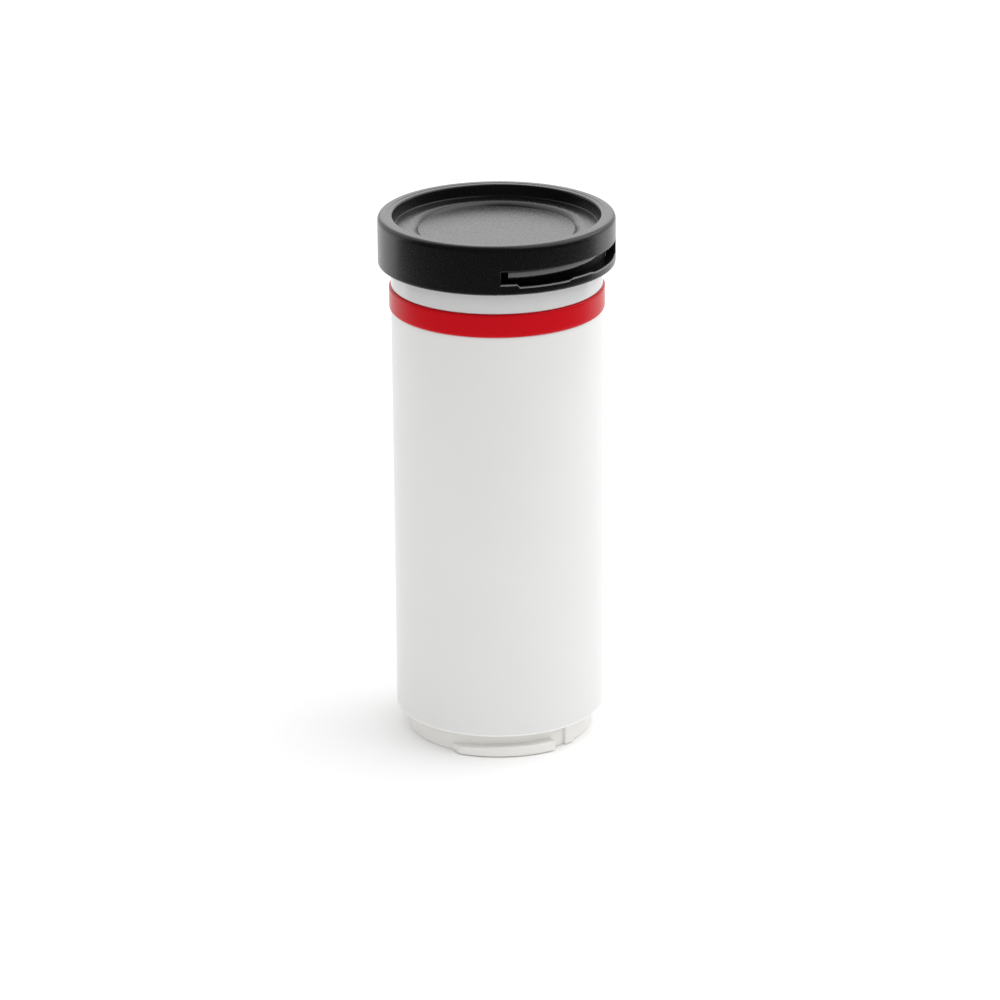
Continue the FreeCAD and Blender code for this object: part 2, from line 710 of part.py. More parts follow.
def optics_block():
    """Black block: clamped flange, central sight bore and slanted lamp bores."""
    pieces = [disc(FLANGE_R, NOSE_Z0, BLOCK_Z1), disc(BLOCK_R, BLOCK_Z0, BLOCK_Z1)]
    cuts = [disc(SIGHT_R, BLOCK_Z0 - OVER, BLOCK_Z1 + OVER),
            disc(LENS_R + SLIP, BLOCK_Z0 - OVER, LENS_Z1),
            Part.makeCone(SIGHT_R, GLASS_R, SIGHT_FLARE_H, V(0, 0, BLOCK_Z1 - SIGHT_FLARE_H))]
    for tail, aim in lamp_poses():
        cuts.append(Part.makeCylinder(LED_R + SLIP, LED_TAIL_R + BLOCK_R, tail - aim * BLOCK_R, aim))
    shank = SMALL_SCREW[0]
    bore_z = BLOCK_Z0 + SENSOR_SCREW_GRIP + PILOT_FLOOR
    cuts += [disc(shank + SCREW_PLAY, NOSE_Z0 - OVER, BLOCK_Z1 + OVER, x, y) for x, y in nose_screw_spots()]
    cuts += [disc(shank + THREAD_PLAY, BLOCK_Z0 - OVER, bore_z, x, y) for x, y in sensor_screw_spots()]
    return without(joined(pieces), cuts)


def measuring_lamps():
    """Domed lamps in the slanted bores, each with two short legs."""
    dome_z = LED_LEN - LED_R
    bulb = disc(LED_R, 0, dome_z).fuse(Part.makeSphere(LED_R, V(0, 0, dome_z)))
    lamp = [bulb.removeSplitter()]
    for side in (-1, 1):
        lamp.append(disc(LED_LEG_R, -LED_LEG_LEN, ROOT, 0, side * LED_LEG_PITCH / 2))
    lamp = joined(lamp)
    return [placed(lamp, tail, aim) for tail, aim in lamp_poses()]


def port_window():
    """Glass under the port."""
    pane = disc(GLASS_R, NOSE_CAVITY_Z, NOSE_CAVITY_Z + GLASS_T)
    return softened(pane, SHARP_EDGE, [(GLASS_R, NOSE_CAVITY_Z + GLASS_T)])


def port_seal():
    """Soft light seal around the port, on the recess floor."""
    inner = PORT_R + PORT_FLARE + SEAL_INSET
    outer = inner + SEAL_W
    top = CARRIER_Z0 - SEAL_GAP
    return softened(ring(outer, inner, RECESS_Z, top), SHARP_EDGE, [(outer, top), (inner, top)])


def sensor_lens():
    """Plano-convex lens in the sight bore."""
    z0 = LENS_Z1 - LENS_EDGE - LENS_CROWN
    curve_r = (LENS_R ** 2 + LENS_CROWN ** 2) / (2 * LENS_CROWN)
    ball = Part.makeSphere(curve_r, V(0, 0, z0 + curve_r))
    return disc(LENS_R, z0, LENS_Z1).common(ball)


def lens_ring():
    """Ring that holds the lens up in its seat."""
    top = LENS_Z1 - LENS_EDGE - LENS_CROWN
    return ring(LENS_R, SIGHT_R + LENS_RING_LAND, top - LENS_RING_H, top)


def sensor_board():
    """Round board under the optics block."""
    plate = disc(SENSOR_BOARD_R, SENSOR_BOARD_Z0, BLOCK_Z0)
    hole_r = SMALL_SCREW[0] + SCREW_PLAY
    holes = [disc(hole_r, SENSOR_BOARD_Z0 - OVER, BLOCK_Z0 + OVER, x, y) for x, y in sensor_screw_spots()]
    return without(plate, holes)


def colour_sensor():
    """Sensor chip with its raised filter, on the sight line."""
    half = SENSOR_W / 2
    top = BLOCK_Z0 + SENSOR_H
    chip = block(-half, half, -half, half, BLOCK_Z0, top)
    eye = half / 2
    return joined([chip, block(-eye, eye, -eye, eye, top - SENSOR_EYE_H, top + SENSOR_EYE_H)])


# Chassis, boards and battery

def chassis():
    """Frame in the tube: two decks, two columns and a tray for the cell."""
    low_z = BASE_DECK_Z + DECK_T / 2
    high_z = TOP_DECK_Z0 + DECK_T / 2
    pieces = [disc(CHASSIS_R, BASE_DECK_Z, BASE_DECK_Z + DECK_T), disc(CHASSIS_R, TOP_DECK_Z0, TOP_DECK_Z1)]
    for x in (-COLUMN_X, COLUMN_X):
        half = COLUMN_W / 2
        pieces.append(block(x - half, x + half, BOARD_Y0 - COLUMN_D, BOARD_Y0, low_z, high_z))
    pieces.append(block(-COLUMN_X, COLUMN_X, TRAY_Y0, TRAY_Y1, low_z, CELL_Z1 + TRAY_OVER))
    slot_w = TONGUE_W / 2 + TONGUE_PLAY
    slot_y1 = BOARD_Y1 + USB_D + TONGUE_PLAY
    holes = [block(-slot_w, slot_w, BOARD_Y0 - TONGUE_PLAY, slot_y1, BASE_DECK_Z - OVER, low_z + DECK_T)]
    slot_w = RIBBON_PLUG_W / 2 + RIBBON_SLOT
    slot_y1 = BOARD_Y1 + RIBBON_BACK + RIBBON_PLUG_D + RIBBON_SLOT
    holes.append(block(-slot_w, slot_w, BOARD_Y1, slot_y1, TOP_DECK_Z0 - OVER, TOP_DECK_Z1 + OVER))
    notch = KEY_RIB_W / 2 + KEY_PLAY
    reach = TUBE_IN - KEY_RIB_H - KEY_PLAY
    for x0, x1 in ((reach, TUBE_IN), (-TUBE_IN, -reach)):
        holes.append(block(x0, x1, -notch, notch, BASE_DECK_Z - OVER, TOP_DECK_Z1 + OVER))
    for x, y in rear_screw_spots():
        pilot_r = LARGE_SCREW[0] + THREAD_PLAY
        holes.append(disc(pilot_r, BASE_DECK_Z - OVER, BASE_DECK_Z + COLUMN_BORE, x, y))
    for x, y in post_spots():
        holes.append(disc(LARGE_SCREW[0] + SCREW_PLAY, TOP_DECK_Z0 - OVER, TOP_DECK_Z1 + OVER, x, y))
    for x, z in board_screw_spots():
        holes.append(rod_y(SMALL_SCREW[0] + THREAD_PLAY, BOARD_Y0 - BOARD_BORE, BOARD_Y0 + OVER, x, z))
    return without(joined(pieces), holes)


def main_board():
    """Upright board with a tongue down to the socket."""
    plate = [block(-BOARD_W / 2, BOARD_W / 2, BOARD_Y0, BOARD_Y1, BOARD_Z0, BOARD_Z1),
             block(-TONGUE_W / 2, TONGUE_W / 2, BOARD_Y0, BOARD_Y1, TONGUE_Z0, BOARD_Z0 + ROOT)]
    hole_r = SMALL_SCREW[0] + SCREW_PLAY
    holes = [rod_y(hole_r, BOARD_Y0 - OVER, BOARD_Y1 + OVER, x, z) for x, z in board_screw_spots()]
    return without(joined(plate), holes)


def board_chips():
    """Two columns of chips on the front of the board, over the tray."""
    chips = []
    for side in (-1, 1):
        for row, (width, height) in enumerate(CHIPS[::side]):
            x0 = side * CHIP_X - width / 2
            z0 = BOARD_Z0 + CHIP_LIFT + row * CHIP_PITCH - height / 2
            chips.append(block(x0, x0 + width, BOARD_Y0 - CHIP_T, BOARD_Y0, z0, z0 + height))
    return chips


def radio_module():
    """Radio board with its metal can."""
    half = RADIO_W / 2
    top = RADIO_Z0 + RADIO_H
    plate = block(-half, half, BOARD_Y1, BOARD_Y1 + RADIO_T, RADIO_Z0, top)
    half -= RADIO_CAN_SIDE
    can_y1 = BOARD_Y1 + RADIO_CAN_T
    can = block(-half, half, BOARD_Y1, can_y1, RADIO_Z0 + RADIO_ANTENNA, top - RADIO_CAN_TOP)
    can = can.makeFillet(SOFT_EDGE, [edge for edge in can.Edges if edge.BoundBox.YMin > can_y1 - SHARP_EDGE])
    return joined([plate, can])


def usb_socket():
    """Charging socket: a thin metal shell with a tongue inside, opening downwards."""
    y0 = BOARD_Y1
    y1 = BOARD_Y1 + USB_D
    z1 = USB_Z0 + USB_LEN
    shell = block(-USB_W / 2, USB_W / 2, y0, y1, USB_Z0, z1)
    corners = [edge for edge in shell.Edges if edge.BoundBox.ZLength > USB_LEN / 2]
    shell = shell.makeFillet(USB_CORNER, corners)
    half = USB_W / 2 - USB_WALL
    inner = block(-half, half, y0 + USB_WALL, y1 - USB_WALL, USB_Z0 - OVER, z1 - USB_BACK)
    mid = (y0 + y1) / 2
    thick = USB_TONGUE_T / 2
    tip_z = USB_Z0 + USB_TONGUE_INSET
    tongue = block(-USB_W / 4, USB_W / 4, mid - thick, mid + thick, tip_z, z1 - USB_BACK / 2)
    return joined([shell.cut(inner), tongue])


def ribbon_connectors():
    """One connector on each board for the ribbon."""
    half = RIBBON_PLUG_W / 2
    top = BOARD_Z1 - RIBBON_RUN
    main = block(-half, half, BOARD_Y1, BOARD_Y1 + RIBBON_PLUG_T, top - RIBBON_PLUG_H, top)
    y0 = BOARD_Y1 + RIBBON_BACK
    upper = block(-half, half, y0, y0 + RIBBON_PLUG_D, SENSOR_BOARD_Z0 - RIBBON_PLUG_T, SENSOR_BOARD_Z0)
    return [main, upper]


def ribbon_cable():
    """Flat ribbon from the main board up to the sensor board."""
    low_y = BOARD_Y1 + RIBBON_PLUG_T / 2
    high_y = BOARD_Y1 + RIBBON_BACK + RIBBON_PLUG_D / 2
    low_z = BOARD_Z1 - RIBBON_RUN
    high_z = SENSOR_BOARD_Z0 - RIBBON_PLUG_T
    path = [(low_y, low_z), (low_y, BOARD_Z1), (high_y, high_z - RIBBON_END), (high_y, high_z)]
    near = [V(-RIBBON_W / 2, y - RIBBON_T / 2, z) for y, z in path]
    far = [V(-RIBBON_W / 2, y + RIBBON_T / 2, z) for y, z in reversed(path)]
    loop = near + far
    return Part.Face(Part.makePolygon(loop + loop[:1])).extrude(V(RIBBON_W, 0, 0))


def battery_cell():
    """Soft-pack cell with rounded long edges and a folded top."""
    cell = block(-CELL_W / 2, CELL_W / 2, CELL_Y0, CELL_Y1, CELL_Z0, CELL_Z1)
    long_edges = [edge for edge in cell.Edges if edge.BoundBox.ZLength > (CELL_Z1 - CELL_Z0) / 2]
    cell = cell.makeFillet(CELL_ROUND, long_edges)
    half = CELL_W / 2 - CELL_FOLD_INSET
    y0 = CELL_Y0 + CELL_FOLD
    y1 = CELL_Y1 - CELL_FOLD
    fold = block(-half, half, y0, y1, CELL_Z1 - ROOT, CELL_Z1 + CELL_FOLD)
    return joined([cell, fold])


def battery_pad():
    """Foam pad that sticks the cell to the tray."""
    half = CELL_W / 2 - PAD_INSET
    return block(-half, half, CELL_Y1, TRAY_Y0, CELL_Z0 + PAD_SHORT, CELL_Z1 - PAD_SHORT)


def battery_connector():
    """Plug of the cell leads on the front of the board."""
    return block(-PLUG_W / 2, PLUG_W / 2, PLUG_Y0, BOARD_Y0, PLUG_Z0, PLUG_Z0 + PLUG_H)


def battery_leads():
    """Two leads from the cell's top to the plug."""
    start_z = CELL_Z1 + CELL_FOLD
    run_z = PLUG_Z0 + PLUG_H / 2
    knee_z = run_z - LEAD_BEND
    mid_y = (CELL_Y0 + CELL_Y1) / 2
    sag = LEAD_BEND * (1 - math.sqrt(0.5))
    leads = []
    for x in (-LEAD_PITCH / 2, LEAD_PITCH / 2):
        rise = Part.makeLine(V(x, mid_y, start_z), V(x, mid_y, knee_z))
        knee = Part.Arc(V(x, mid_y, knee_z), V(x, mid_y + sag, run_z - sag), V(x, mid_y + LEAD_BEND, run_z))
        run = Part.makeLine(V(x, mid_y + LEAD_BEND, run_z), V(x, PLUG_Y0, run_z))
        profile = Part.Wire(Part.makeCircle(LEAD_R, V(x, mid_y, start_z)))
        leads.append(Part.Wire([rise, knee.toShape(), run]).makePipeShell([profile], True, True))
    return leads


# Button, switch and status light

def tact_switch():
    """Switch body on the board, with the plunger's well."""
    half = SWITCH_W / 2
    body = block(-half, half, BOARD_Y1, BOARD_Y1 + SWITCH_H, BUTTON_Z - half, BUTTON_Z + half)
    return body.cut(rod_y(PLUNGER_R + BUTTON_RUN, BOARD_Y1 + WELL_FLOOR, PLUNGER_Y1, 0, BUTTON_Z))


def switch_plunger():
    """Plunger that the button pushes in."""
    return rod_y(PLUNGER_R, BOARD_Y1 + WELL_FLOOR + BUTTON_TRAVEL + WELL_GAP, PLUNGER_Y1, 0, BUTTON_Z)


def switch_guard():
    """Cup over the switch that guides the button's stem."""
    inner = SWITCH_W / 2 + GUARD_ROOM
    outer = inner + GUARD_WALL
    roof_y = GUARD_Y1 - GUARD_ROOF
    cup = block(-outer, outer, BOARD_Y1, GUARD_Y1, BUTTON_Z - outer, BUTTON_Z + outer)
    cuts = [block(-inner, inner, BOARD_Y1 - OVER, roof_y, BUTTON_Z - inner, BUTTON_Z + inner),
            rod_y(STEM_R + BUTTON_RUN, BOARD_Y1, GUARD_Y1 + OVER, 0, BUTTON_Z)]
    return without(cup, cuts)


def measure_button():
    """Button: a cap that follows the tube with a thumb dish, a flange and a stem."""
    outside = BODY_R + BUTTON_PROUD
    middle = (BUTTON_Y0 + BUTTON_Y1) / 2
    cap = rod_y(BUTTON_R, middle, outside + OVER, 0, BUTTON_Z)
    cap = cap.common(disc(outside, BUTTON_Z - BUTTON_R - OVER, BUTTON_Z + BUTTON_R + OVER))
    dish = Part.makeSphere(BUTTON_DISH_R, V(0, outside + BUTTON_DISH_R - BUTTON_DISH, BUTTON_Z))
    pieces = [cap.cut(dish), rod_y(BUTTON_FLANGE_R, BUTTON_Y0, BUTTON_Y1, 0, BUTTON_Z),
              rod_y(STEM_R, PLUNGER_Y1 + STEM_GAP, middle, 0, BUTTON_Z)]
    return joined(pieces)


def status_led():
    """Small lamp behind the light pipe."""
    half_w = STATUS_LED_W / 2
    half_h = STATUS_LED_H / 2
    return block(-half_w, half_w, BOARD_Y1, BOARD_Y1 + STATUS_LED_T, STATUS_Z - half_h, STATUS_Z + half_h)


def status_pipe():
    """Light pipe from the lamp out through the tube."""
    pipe = rod_y(STATUS_R, BOARD_Y1 + STATUS_LED_T + STATUS_LED_GAP, BODY_R + STATUS_PROUD, 0, STATUS_Z)
    collar_y1 = math.sqrt(TUBE_IN ** 2 - STATUS_COLLAR_R ** 2) - STATUS_COLLAR_GAP
    return joined([pipe, rod_y(STATUS_COLLAR_R, collar_y1 - STATUS_COLLAR_T, collar_y1, 0, STATUS_Z)])


# Screws

def rear_screws():
    """Rear cap to the chassis columns."""
    one = screw(LARGE_SCREW, BASE_DECK_Z + COLUMN_GRIP - CAP_FLOOR_Z0 - LARGE_SCREW[2])
    return [placed(one, V(x, y, CAP_FLOOR_Z0 + LARGE_SCREW[2])) for x, y in rear_screw_spots()]


def nose_screws():
    """Neck web through the optics flange to the nose."""
    one = screw(SMALL_SCREW, RECESS_Z - PILOT_FLOOR - SCREW_PLAY - WEB_Z0)
    return [placed(one, V(x, y, WEB_Z0)) for x, y in nose_screw_spots()]


def chassis_screws():
    """Top deck to the neck posts."""
    one = screw(LARGE_SCREW, DECK_T + POST_GRIP)
    return [placed(one, V(x, y, TOP_DECK_Z0)) for x, y in post_spots()]


def board_screws():
    """Main board to the columns."""
    one = screw(SMALL_SCREW, BOARD_T + BOARD_GRIP)
    return [placed(one, V(x, BOARD_Y1, z), V(0, -1, 0)) for x, z in board_screw_spots()]


def sensor_screws():
    """Sensor board to the optics block."""
    one = screw(SMALL_SCREW, SENSOR_BOARD_T + SENSOR_SCREW_GRIP)
    return [placed(one, V(x, y, SENSOR_BOARD_Z0)) for x, y in sensor_screw_spots()]


PIECES = [body_tube, red_ring, neck_ring, measuring_nose, rear_cap, lid_shell, lid_track, tile_rivet,
          tile_carrier, white_tile, optics_block, measuring_lamps, port_window, port_seal, sensor_lens,
          lens_ring, sensor_board, colour_sensor, chassis, main_board, board_chips, radio_module,
          usb_socket, ribbon_connectors, ribbon_cable, battery_cell, battery_pad, battery_connector,
          battery_leads, tact_switch, switch_plunger, switch_guard, measure_button, status_led,
          status_pipe, rear_screws, nose_screws, chassis_screws, board_screws, sensor_screws]

os.makedirs("parts", exist_ok=True)
for piece in PIECES:
    save(piece.__name__, piece())
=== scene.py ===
# Looks of the pocket colour reader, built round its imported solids.
# Sizes are millimetres. Angles round the axis are degrees from the front (-Y) towards +X.
import functools
import logging
import math
from dataclasses import dataclass, field
from enum import Enum

import bmesh
import bpy
from bpy.types import ID, Material, Mesh, Node, NodeSocket, NodeTree, Object
from mathutils import Matrix, Vector


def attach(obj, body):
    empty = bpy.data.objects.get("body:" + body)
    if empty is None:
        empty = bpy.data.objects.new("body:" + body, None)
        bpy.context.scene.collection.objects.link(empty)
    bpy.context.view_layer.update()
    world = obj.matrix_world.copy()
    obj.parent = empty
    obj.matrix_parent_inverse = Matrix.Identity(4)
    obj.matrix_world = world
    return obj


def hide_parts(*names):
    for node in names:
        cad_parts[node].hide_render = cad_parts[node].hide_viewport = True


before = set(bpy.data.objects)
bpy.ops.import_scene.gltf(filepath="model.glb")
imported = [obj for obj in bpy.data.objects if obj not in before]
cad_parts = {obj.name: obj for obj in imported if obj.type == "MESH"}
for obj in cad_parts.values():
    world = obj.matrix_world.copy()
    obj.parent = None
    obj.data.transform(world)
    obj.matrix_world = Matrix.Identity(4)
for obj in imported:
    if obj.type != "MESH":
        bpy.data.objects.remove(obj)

MM = 0.001
LOG = logging.getLogger("colour_reader")
Point = tuple[float, float]
Corner = tuple[float, float, float]
Colour = tuple[float, float, float, float]
Section = tuple[float, list[Corner]]
Row = list[bmesh.types.BMVert]


class Body(Enum):
    """Moving bodies of the reader that a piece can ride on."""

    READER = "reader"
    LID = "lid"
    TILE_HOLDER = "tile_holder"
    BUTTON = "button"


# Finishes

# Most of a noise's values lie between these two.
NOISE_LOW = 0.3
NOISE_HIGH = 0.7
# The wave texture packs about this many radians into one unit of its scale.
WAVE_RATE = 20.0
BLACK: Colour = (0.0, 0.0, 0.0, 1.0)
WHITE: Colour = (1.0, 1.0, 1.0, 1.0)


def linear(colour: str) -> Colour:
    """Turn an sRGB hex colour to linear light.

    Args:
        colour: Colour as "#rrggbb".

    Returns:
        Linear red, green and blue, and an alpha of 1.
    """
    channels = []
    for start in (1, 3, 5):
        value = int(colour[start:start + 2], 16) / 255
        channels.append(value / 12.92 if value <= 0.04045 else ((value + 0.055) / 1.055) ** 2.4)
    return (channels[0], channels[1], channels[2], 1.0)


def per_metre(size: float) -> float:
    """Texture scale on Object coordinates that gives features of a size in millimetres."""
    return 1.0 / (size * MM)


def feed(tree: NodeTree, node: Node, inputs: dict) -> None:
    """Set the inputs of a node.

    Args:
        tree: Node tree of the node.
        node: Node that is set.
        inputs: Socket name or index to a value, or to the output socket that feeds it.
    """
    for name, value in inputs.items():
        if isinstance(value, NodeSocket):
            tree.links.new(value, node.inputs[name])
        else:
            node.inputs[name].default_value = value


def add(tree: NodeTree, kind: str, inputs: dict | None = None, **settings) -> Node:
    """Add one node with its settings, values and links.

    Args:
        tree: Node tree that gets the node.
        kind: Blender's type name of the node.
        inputs: Socket name or index to a value, or to the output socket that feeds it.
        settings: Properties of the node itself.

    Returns:
        The new node.
    """
    node = tree.nodes.new(kind)
    for name, value in settings.items():
        setattr(node, name, value)
    feed(tree, node, inputs or {})
    return node


def compute(tree: NodeTree, operation: str, first, second) -> NodeSocket:
    """Result of a math node on two values or sockets."""
    return add(tree, "ShaderNodeMath", {0: first, 1: second}, operation=operation).outputs[0]


class Shading:
    """Material in the making, with patterns on Object coordinates."""

    def __init__(self, name: str) -> None:
        """Start the material.

        Args:
            name: Name of the real material.
        """
        self.material = bpy.data.materials.new(name)
        self.material.use_nodes = True
        self.tree = self.material.node_tree
        self.place = add(self.tree, "ShaderNodeTexCoord").outputs["Object"]

    def noise(self, size: float, place: NodeSocket | None = None, **inputs: float) -> NodeSocket:
        """Add a noise.

        Args:
            size: Width of a feature in millimetres.
            place: Coordinates, or None for the object's own.
            inputs: Values of the noise's other sockets.

        Returns:
            The noise's value.
        """
        values = {"Vector": self.place if place is None else place, "Scale": per_metre(size), **inputs}
        return add(self.tree, "ShaderNodeTexNoise", values).outputs[0]

    def ranged(self, value: NodeSocket, start: float, end: float,
               low: float = 0.0, high: float = 1.0) -> NodeSocket:
        """Map a value from start and end to low and high."""
        inputs = {"Value": value, "From Min": start, "From Max": end, "To Min": low, "To Max": high}
        return add(self.tree, "ShaderNodeMapRange", inputs).outputs[0]

    def blend(self, share: NodeSocket, first: str, second: str) -> NodeSocket:
        """Blend two hex colours by the share of the second."""
        inputs = {0: share, 6: linear(first), 7: linear(second)}
        return add(self.tree, "ShaderNodeMix", inputs, data_type="RGBA").outputs[2]

    def relief(self, height: NodeSocket, depth: float, strength: float) -> NodeSocket:
        """Normal of a pattern pressed to a depth in millimetres."""
        inputs = {"Strength": strength, "Distance": depth * MM, "Height": height}
        return add(self.tree, "ShaderNodeBump", inputs).outputs[0]

    def finished(self, inputs: dict) -> Material:
        """Set the shader's sockets and give the material."""
        feed(self.tree, self.tree.nodes["Principled BSDF"], inputs)
        return self.material


@dataclass(frozen=True)
class MouldedPlastic:
    """Injection-moulded plastic with the skin that its mould gives it.

    Attributes:
        name: Name of the material.
        colour: Main colour.
        shade: Colour of the faint patches where the melt flowed.
        roughness: Mean roughness.
        grain_mm: Width of one grain of the mould's texture.
        grain_height_mm: Height of the grain.
        gloss_spread: How far the roughness varies.
        flow_mm: Width of the patches.
        specular: Specular level.
        ior: Index of refraction.
    """

    name: str
    colour: str
    shade: str
    roughness: float
    grain_mm: float
    grain_height_mm: float
    gloss_spread: float = 0.04
    flow_mm: float = 12.0
    specular: float = 0.5
    ior: float = 1.53

    def material(self) -> Material:
        """Make the material: patches in the colour, uneven gloss and a raised grain."""
        shading = Shading(self.name)
        flow = shading.noise(self.flow_mm, Detail=2.0)
        grain = shading.noise(self.grain_mm, Detail=3.0, Roughness=0.6)
        gloss = shading.ranged(grain, NOISE_LOW, NOISE_HIGH,
                               self.roughness - self.gloss_spread, self.roughness + self.gloss_spread)
        return shading.finished({"Base Color": shading.blend(flow, self.colour, self.shade),
                                 "Roughness": gloss, "IOR": self.ior, "Specular IOR Level": self.specular,
                                 "Normal": shading.relief(grain, self.grain_height_mm, 1.0)})


@dataclass(frozen=True)
class Metal:
    """Bare or plated metal with fine lines from rolling or turning.

    Attributes:
        name: Name of the material.
        colour: Colour of its reflection.
        roughness: Mean roughness.
        line_mm: Width of the lines.
        line_depth_mm: Depth of the lines.
        stretch: How much longer than wide the lines are.
        gloss_share: Share of the roughness by which it varies.
    """

    name: str
    colour: str
    roughness: float
    line_mm: float = 0.12
    line_depth_mm: float = 0.003
    stretch: float = 12.0
    gloss_share: float = 0.25

    def material(self) -> Material:
        """Make the material: long streaks in the gloss and a slight relief along them."""
        shading = Shading(self.name)
        along = add(shading.tree, "ShaderNodeMapping",
                    {"Vector": shading.place, "Scale": (1.0, 1.0, 1.0 / self.stretch)})
        lines = shading.noise(self.line_mm, along.outputs[0], Detail=3.0)
        gloss = shading.ranged(lines, NOISE_LOW, NOISE_HIGH, self.roughness * (1.0 - self.gloss_share),
                               self.roughness * (1.0 + self.gloss_share))
        return shading.finished({"Base Color": linear(self.colour), "Metallic": 1.0, "Roughness": gloss,
                                 "Normal": shading.relief(lines, self.line_depth_mm, 0.5)})


@dataclass(frozen=True)
class ClearPiece:
    """Glass or clear plastic that light goes through.

    Attributes:
        name: Name of the material.
        tint: Colour that it gives to light.
        roughness: Roughness of its faces.
        ior: Index of refraction.
        haze_mm: Width of the faint unevenness of its faces.
        haze_share: Share of the roughness by which it varies.
    """

    name: str
    tint: str
    roughness: float
    ior: float
    haze_mm: float = 1.5
    haze_share: float = 0.4

    def material(self) -> Material:
        """Make the material: full transmission with slightly uneven faces."""
        shading = Shading(self.name)
        haze = shading.noise(self.haze_mm)
        gloss = shading.ranged(haze, 0.0, 1.0, self.roughness * (1.0 - self.haze_share),
                               self.roughness * (1.0 + self.haze_share))
        return shading.finished({"Base Color": linear(self.tint), "Roughness": gloss, "IOR": self.ior,
                                 "Transmission Weight": 1.0})


@dataclass(frozen=True)
class GlazedCeramic:
    """Fired white ceramic under a clear glaze.

    Attributes:
        name: Name of the material.
        colour: Colour of the body.
        speck: Colour of the faint specks in it.
        speck_mm: Spacing of the specks.
        ripple_mm: Width of the glaze's slow waves.
        ripple_depth_mm: Depth of the waves.
    """

    name: str
    colour: str
    speck: str
    speck_mm: float = 0.5
    ripple_mm: float = 3.0
    ripple_depth_mm: float = 0.01

    def material(self) -> Material:
        """Make the material: faint specks under a glossy coat with slow waves."""
        shading = Shading(self.name)
        specks = shading.ranged(shading.noise(self.speck_mm), 0.62, 0.72)
        ripple = shading.relief(shading.noise(self.ripple_mm), self.ripple_depth_mm, 0.6)
        return shading.finished({"Base Color": shading.blend(specks, self.colour, self.speck),
                                 "Roughness": 0.35, "Coat Weight": 1.0, "Coat Roughness": 0.05,
                                 "Coat Normal": ripple})


@dataclass(frozen=True)
class CircuitBoard:
    """Glass-fibre board under solder mask, with copper tracks just showing.

    Attributes:
        name: Name of the material.
        mask: Colour of the mask over bare board.
        track: Colour of the mask over copper.
        track_mm: Spacing of the tracks.
        track_height_mm: Height of the tracks.
    """

    name: str
    mask: str
    track: str
    track_mm: float = 0.8
    track_height_mm: float = 0.03

    def material(self) -> Material:
        """Make the material: bands of lighter, slightly raised tracks under a satin mask."""
        shading = Shading(self.name)
        bands = add(shading.tree, "ShaderNodeTexWave",
                    {"Vector": shading.place, "Scale": per_metre(self.track_mm) / WAVE_RATE,
                     "Distortion": 2.0}, bands_direction="DIAGONAL")
        tracks = shading.ranged(bands.outputs[1], 0.55, 0.65)
        return shading.finished({"Base Color": shading.blend(tracks, self.mask, self.track),
                                 "Roughness": 0.4,
                                 "Normal": shading.relief(tracks, self.track_height_mm, 0.5)})


@dataclass(frozen=True)
class Foil:
    """Laminated aluminium foil of a soft-pack cell.

    Attributes:
        name: Name of the material.
        colour: Colour of its reflection.
        crease_mm: Spacing of its creases.
        crease_depth_mm: Depth of its creases.
    """

    name: str
    colour: str
    crease_mm: float = 3.0
    crease_depth_mm: float = 0.15

    def material(self) -> Material:
        """Make the material: soft creases over a dull metal face."""
        shading = Shading(self.name)
        creases = shading.noise(self.crease_mm, Detail=4.0, Distortion=0.6)
        return shading.finished({"Base Color": linear(self.colour), "Metallic": 1.0, "Roughness": 0.38,
                                 "Normal": shading.relief(creases, self.crease_depth_mm, 0.7)})


@dataclass(frozen=True)
class Foam:
    """Open-cell foam or soft rubber with a pored face.

    Attributes:
        name: Name of the material.
        colour: Colour of the face.
        pore: Colour down in the pores.
        pore_mm: Width of a pore.
        pore_depth_mm: Depth of a pore.
    """

    name: str
    colour: str
    pore: str
    pore_mm: float = 0.5
    pore_depth_mm: float = 0.1

    def material(self) -> Material:
        """Make the material: dark pores pressed into a dull face."""
        shading = Shading(self.name)
        pores = add(shading.tree, "ShaderNodeTexVoronoi",
                    {"Vector": shading.place, "Scale": per_metre(self.pore_mm)}).outputs[0]
        return shading.finished({"Base Color": shading.blend(pores, self.pore, self.colour),
                                 "Roughness": 0.9,
                                 "Normal": shading.relief(pores, self.pore_depth_mm, 0.8)})


Finish = MouldedPlastic | Metal | ClearPiece | GlazedCeramic | CircuitBoard | Foil | Foam

# ABS moulded in a vapour-blasted tool: an even satin white with no sharp reflection. The blasting is too
# fine to show, so the relief is the wall's slow waves.
SATIN_WHITE = MouldedPlastic("satin_white_abs", "#e6e6e5", "#e2e2e1", 0.28, 3.0, 0.0015, gloss_spread=0.0)
# The tube's foot rounding, painted near white: a painted highlight for the fine bright line where it catches
# the light.
FOOT_HIGHLIGHT_WHITE = MouldedPlastic("trimmed_white_abs", "#fcfcfb", "#f8f8f7", 0.22, 3.0, 0.0015,
                               gloss_spread=0.0)
# ABS from a polished tool: mirrors its surroundings, with slow waves where it shrank. Its colour, darker
# than the tube's, is partly the plastic's own tone and partly painted shade for the lid's shadow on the
# neck.
GLOSS_WHITE = MouldedPlastic("polished_white_abs", "#dadada", "#d6d6d6", 0.09, 6.0, 0.012,
                             gloss_spread=0.02)
# Red ABS, satin like the tube.
SATIN_RED = MouldedPlastic("satin_red_abs", "#c90013", "#c00011", 0.26, 3.0, 0.0015,
                           gloss_spread=0.0, specular=0.14)
# Warm grey ABS with a finer, duller texture.
WARM_GREY = MouldedPlastic("warm_grey_abs", "#f1efeb", "#eceae6", 0.42, 0.3, 0.004)
# Black ABS from a spark-eroded tool: a fine sparkle of grains. The real grain is about 0.1 mm, and it is
# drawn at 0.22 mm so that it shows.
GRAINED_BLACK = MouldedPlastic("grained_black_abs", "#0a0a0b", "#070708", 0.27, 0.22, 0.008,
                               gloss_spread=0.06)
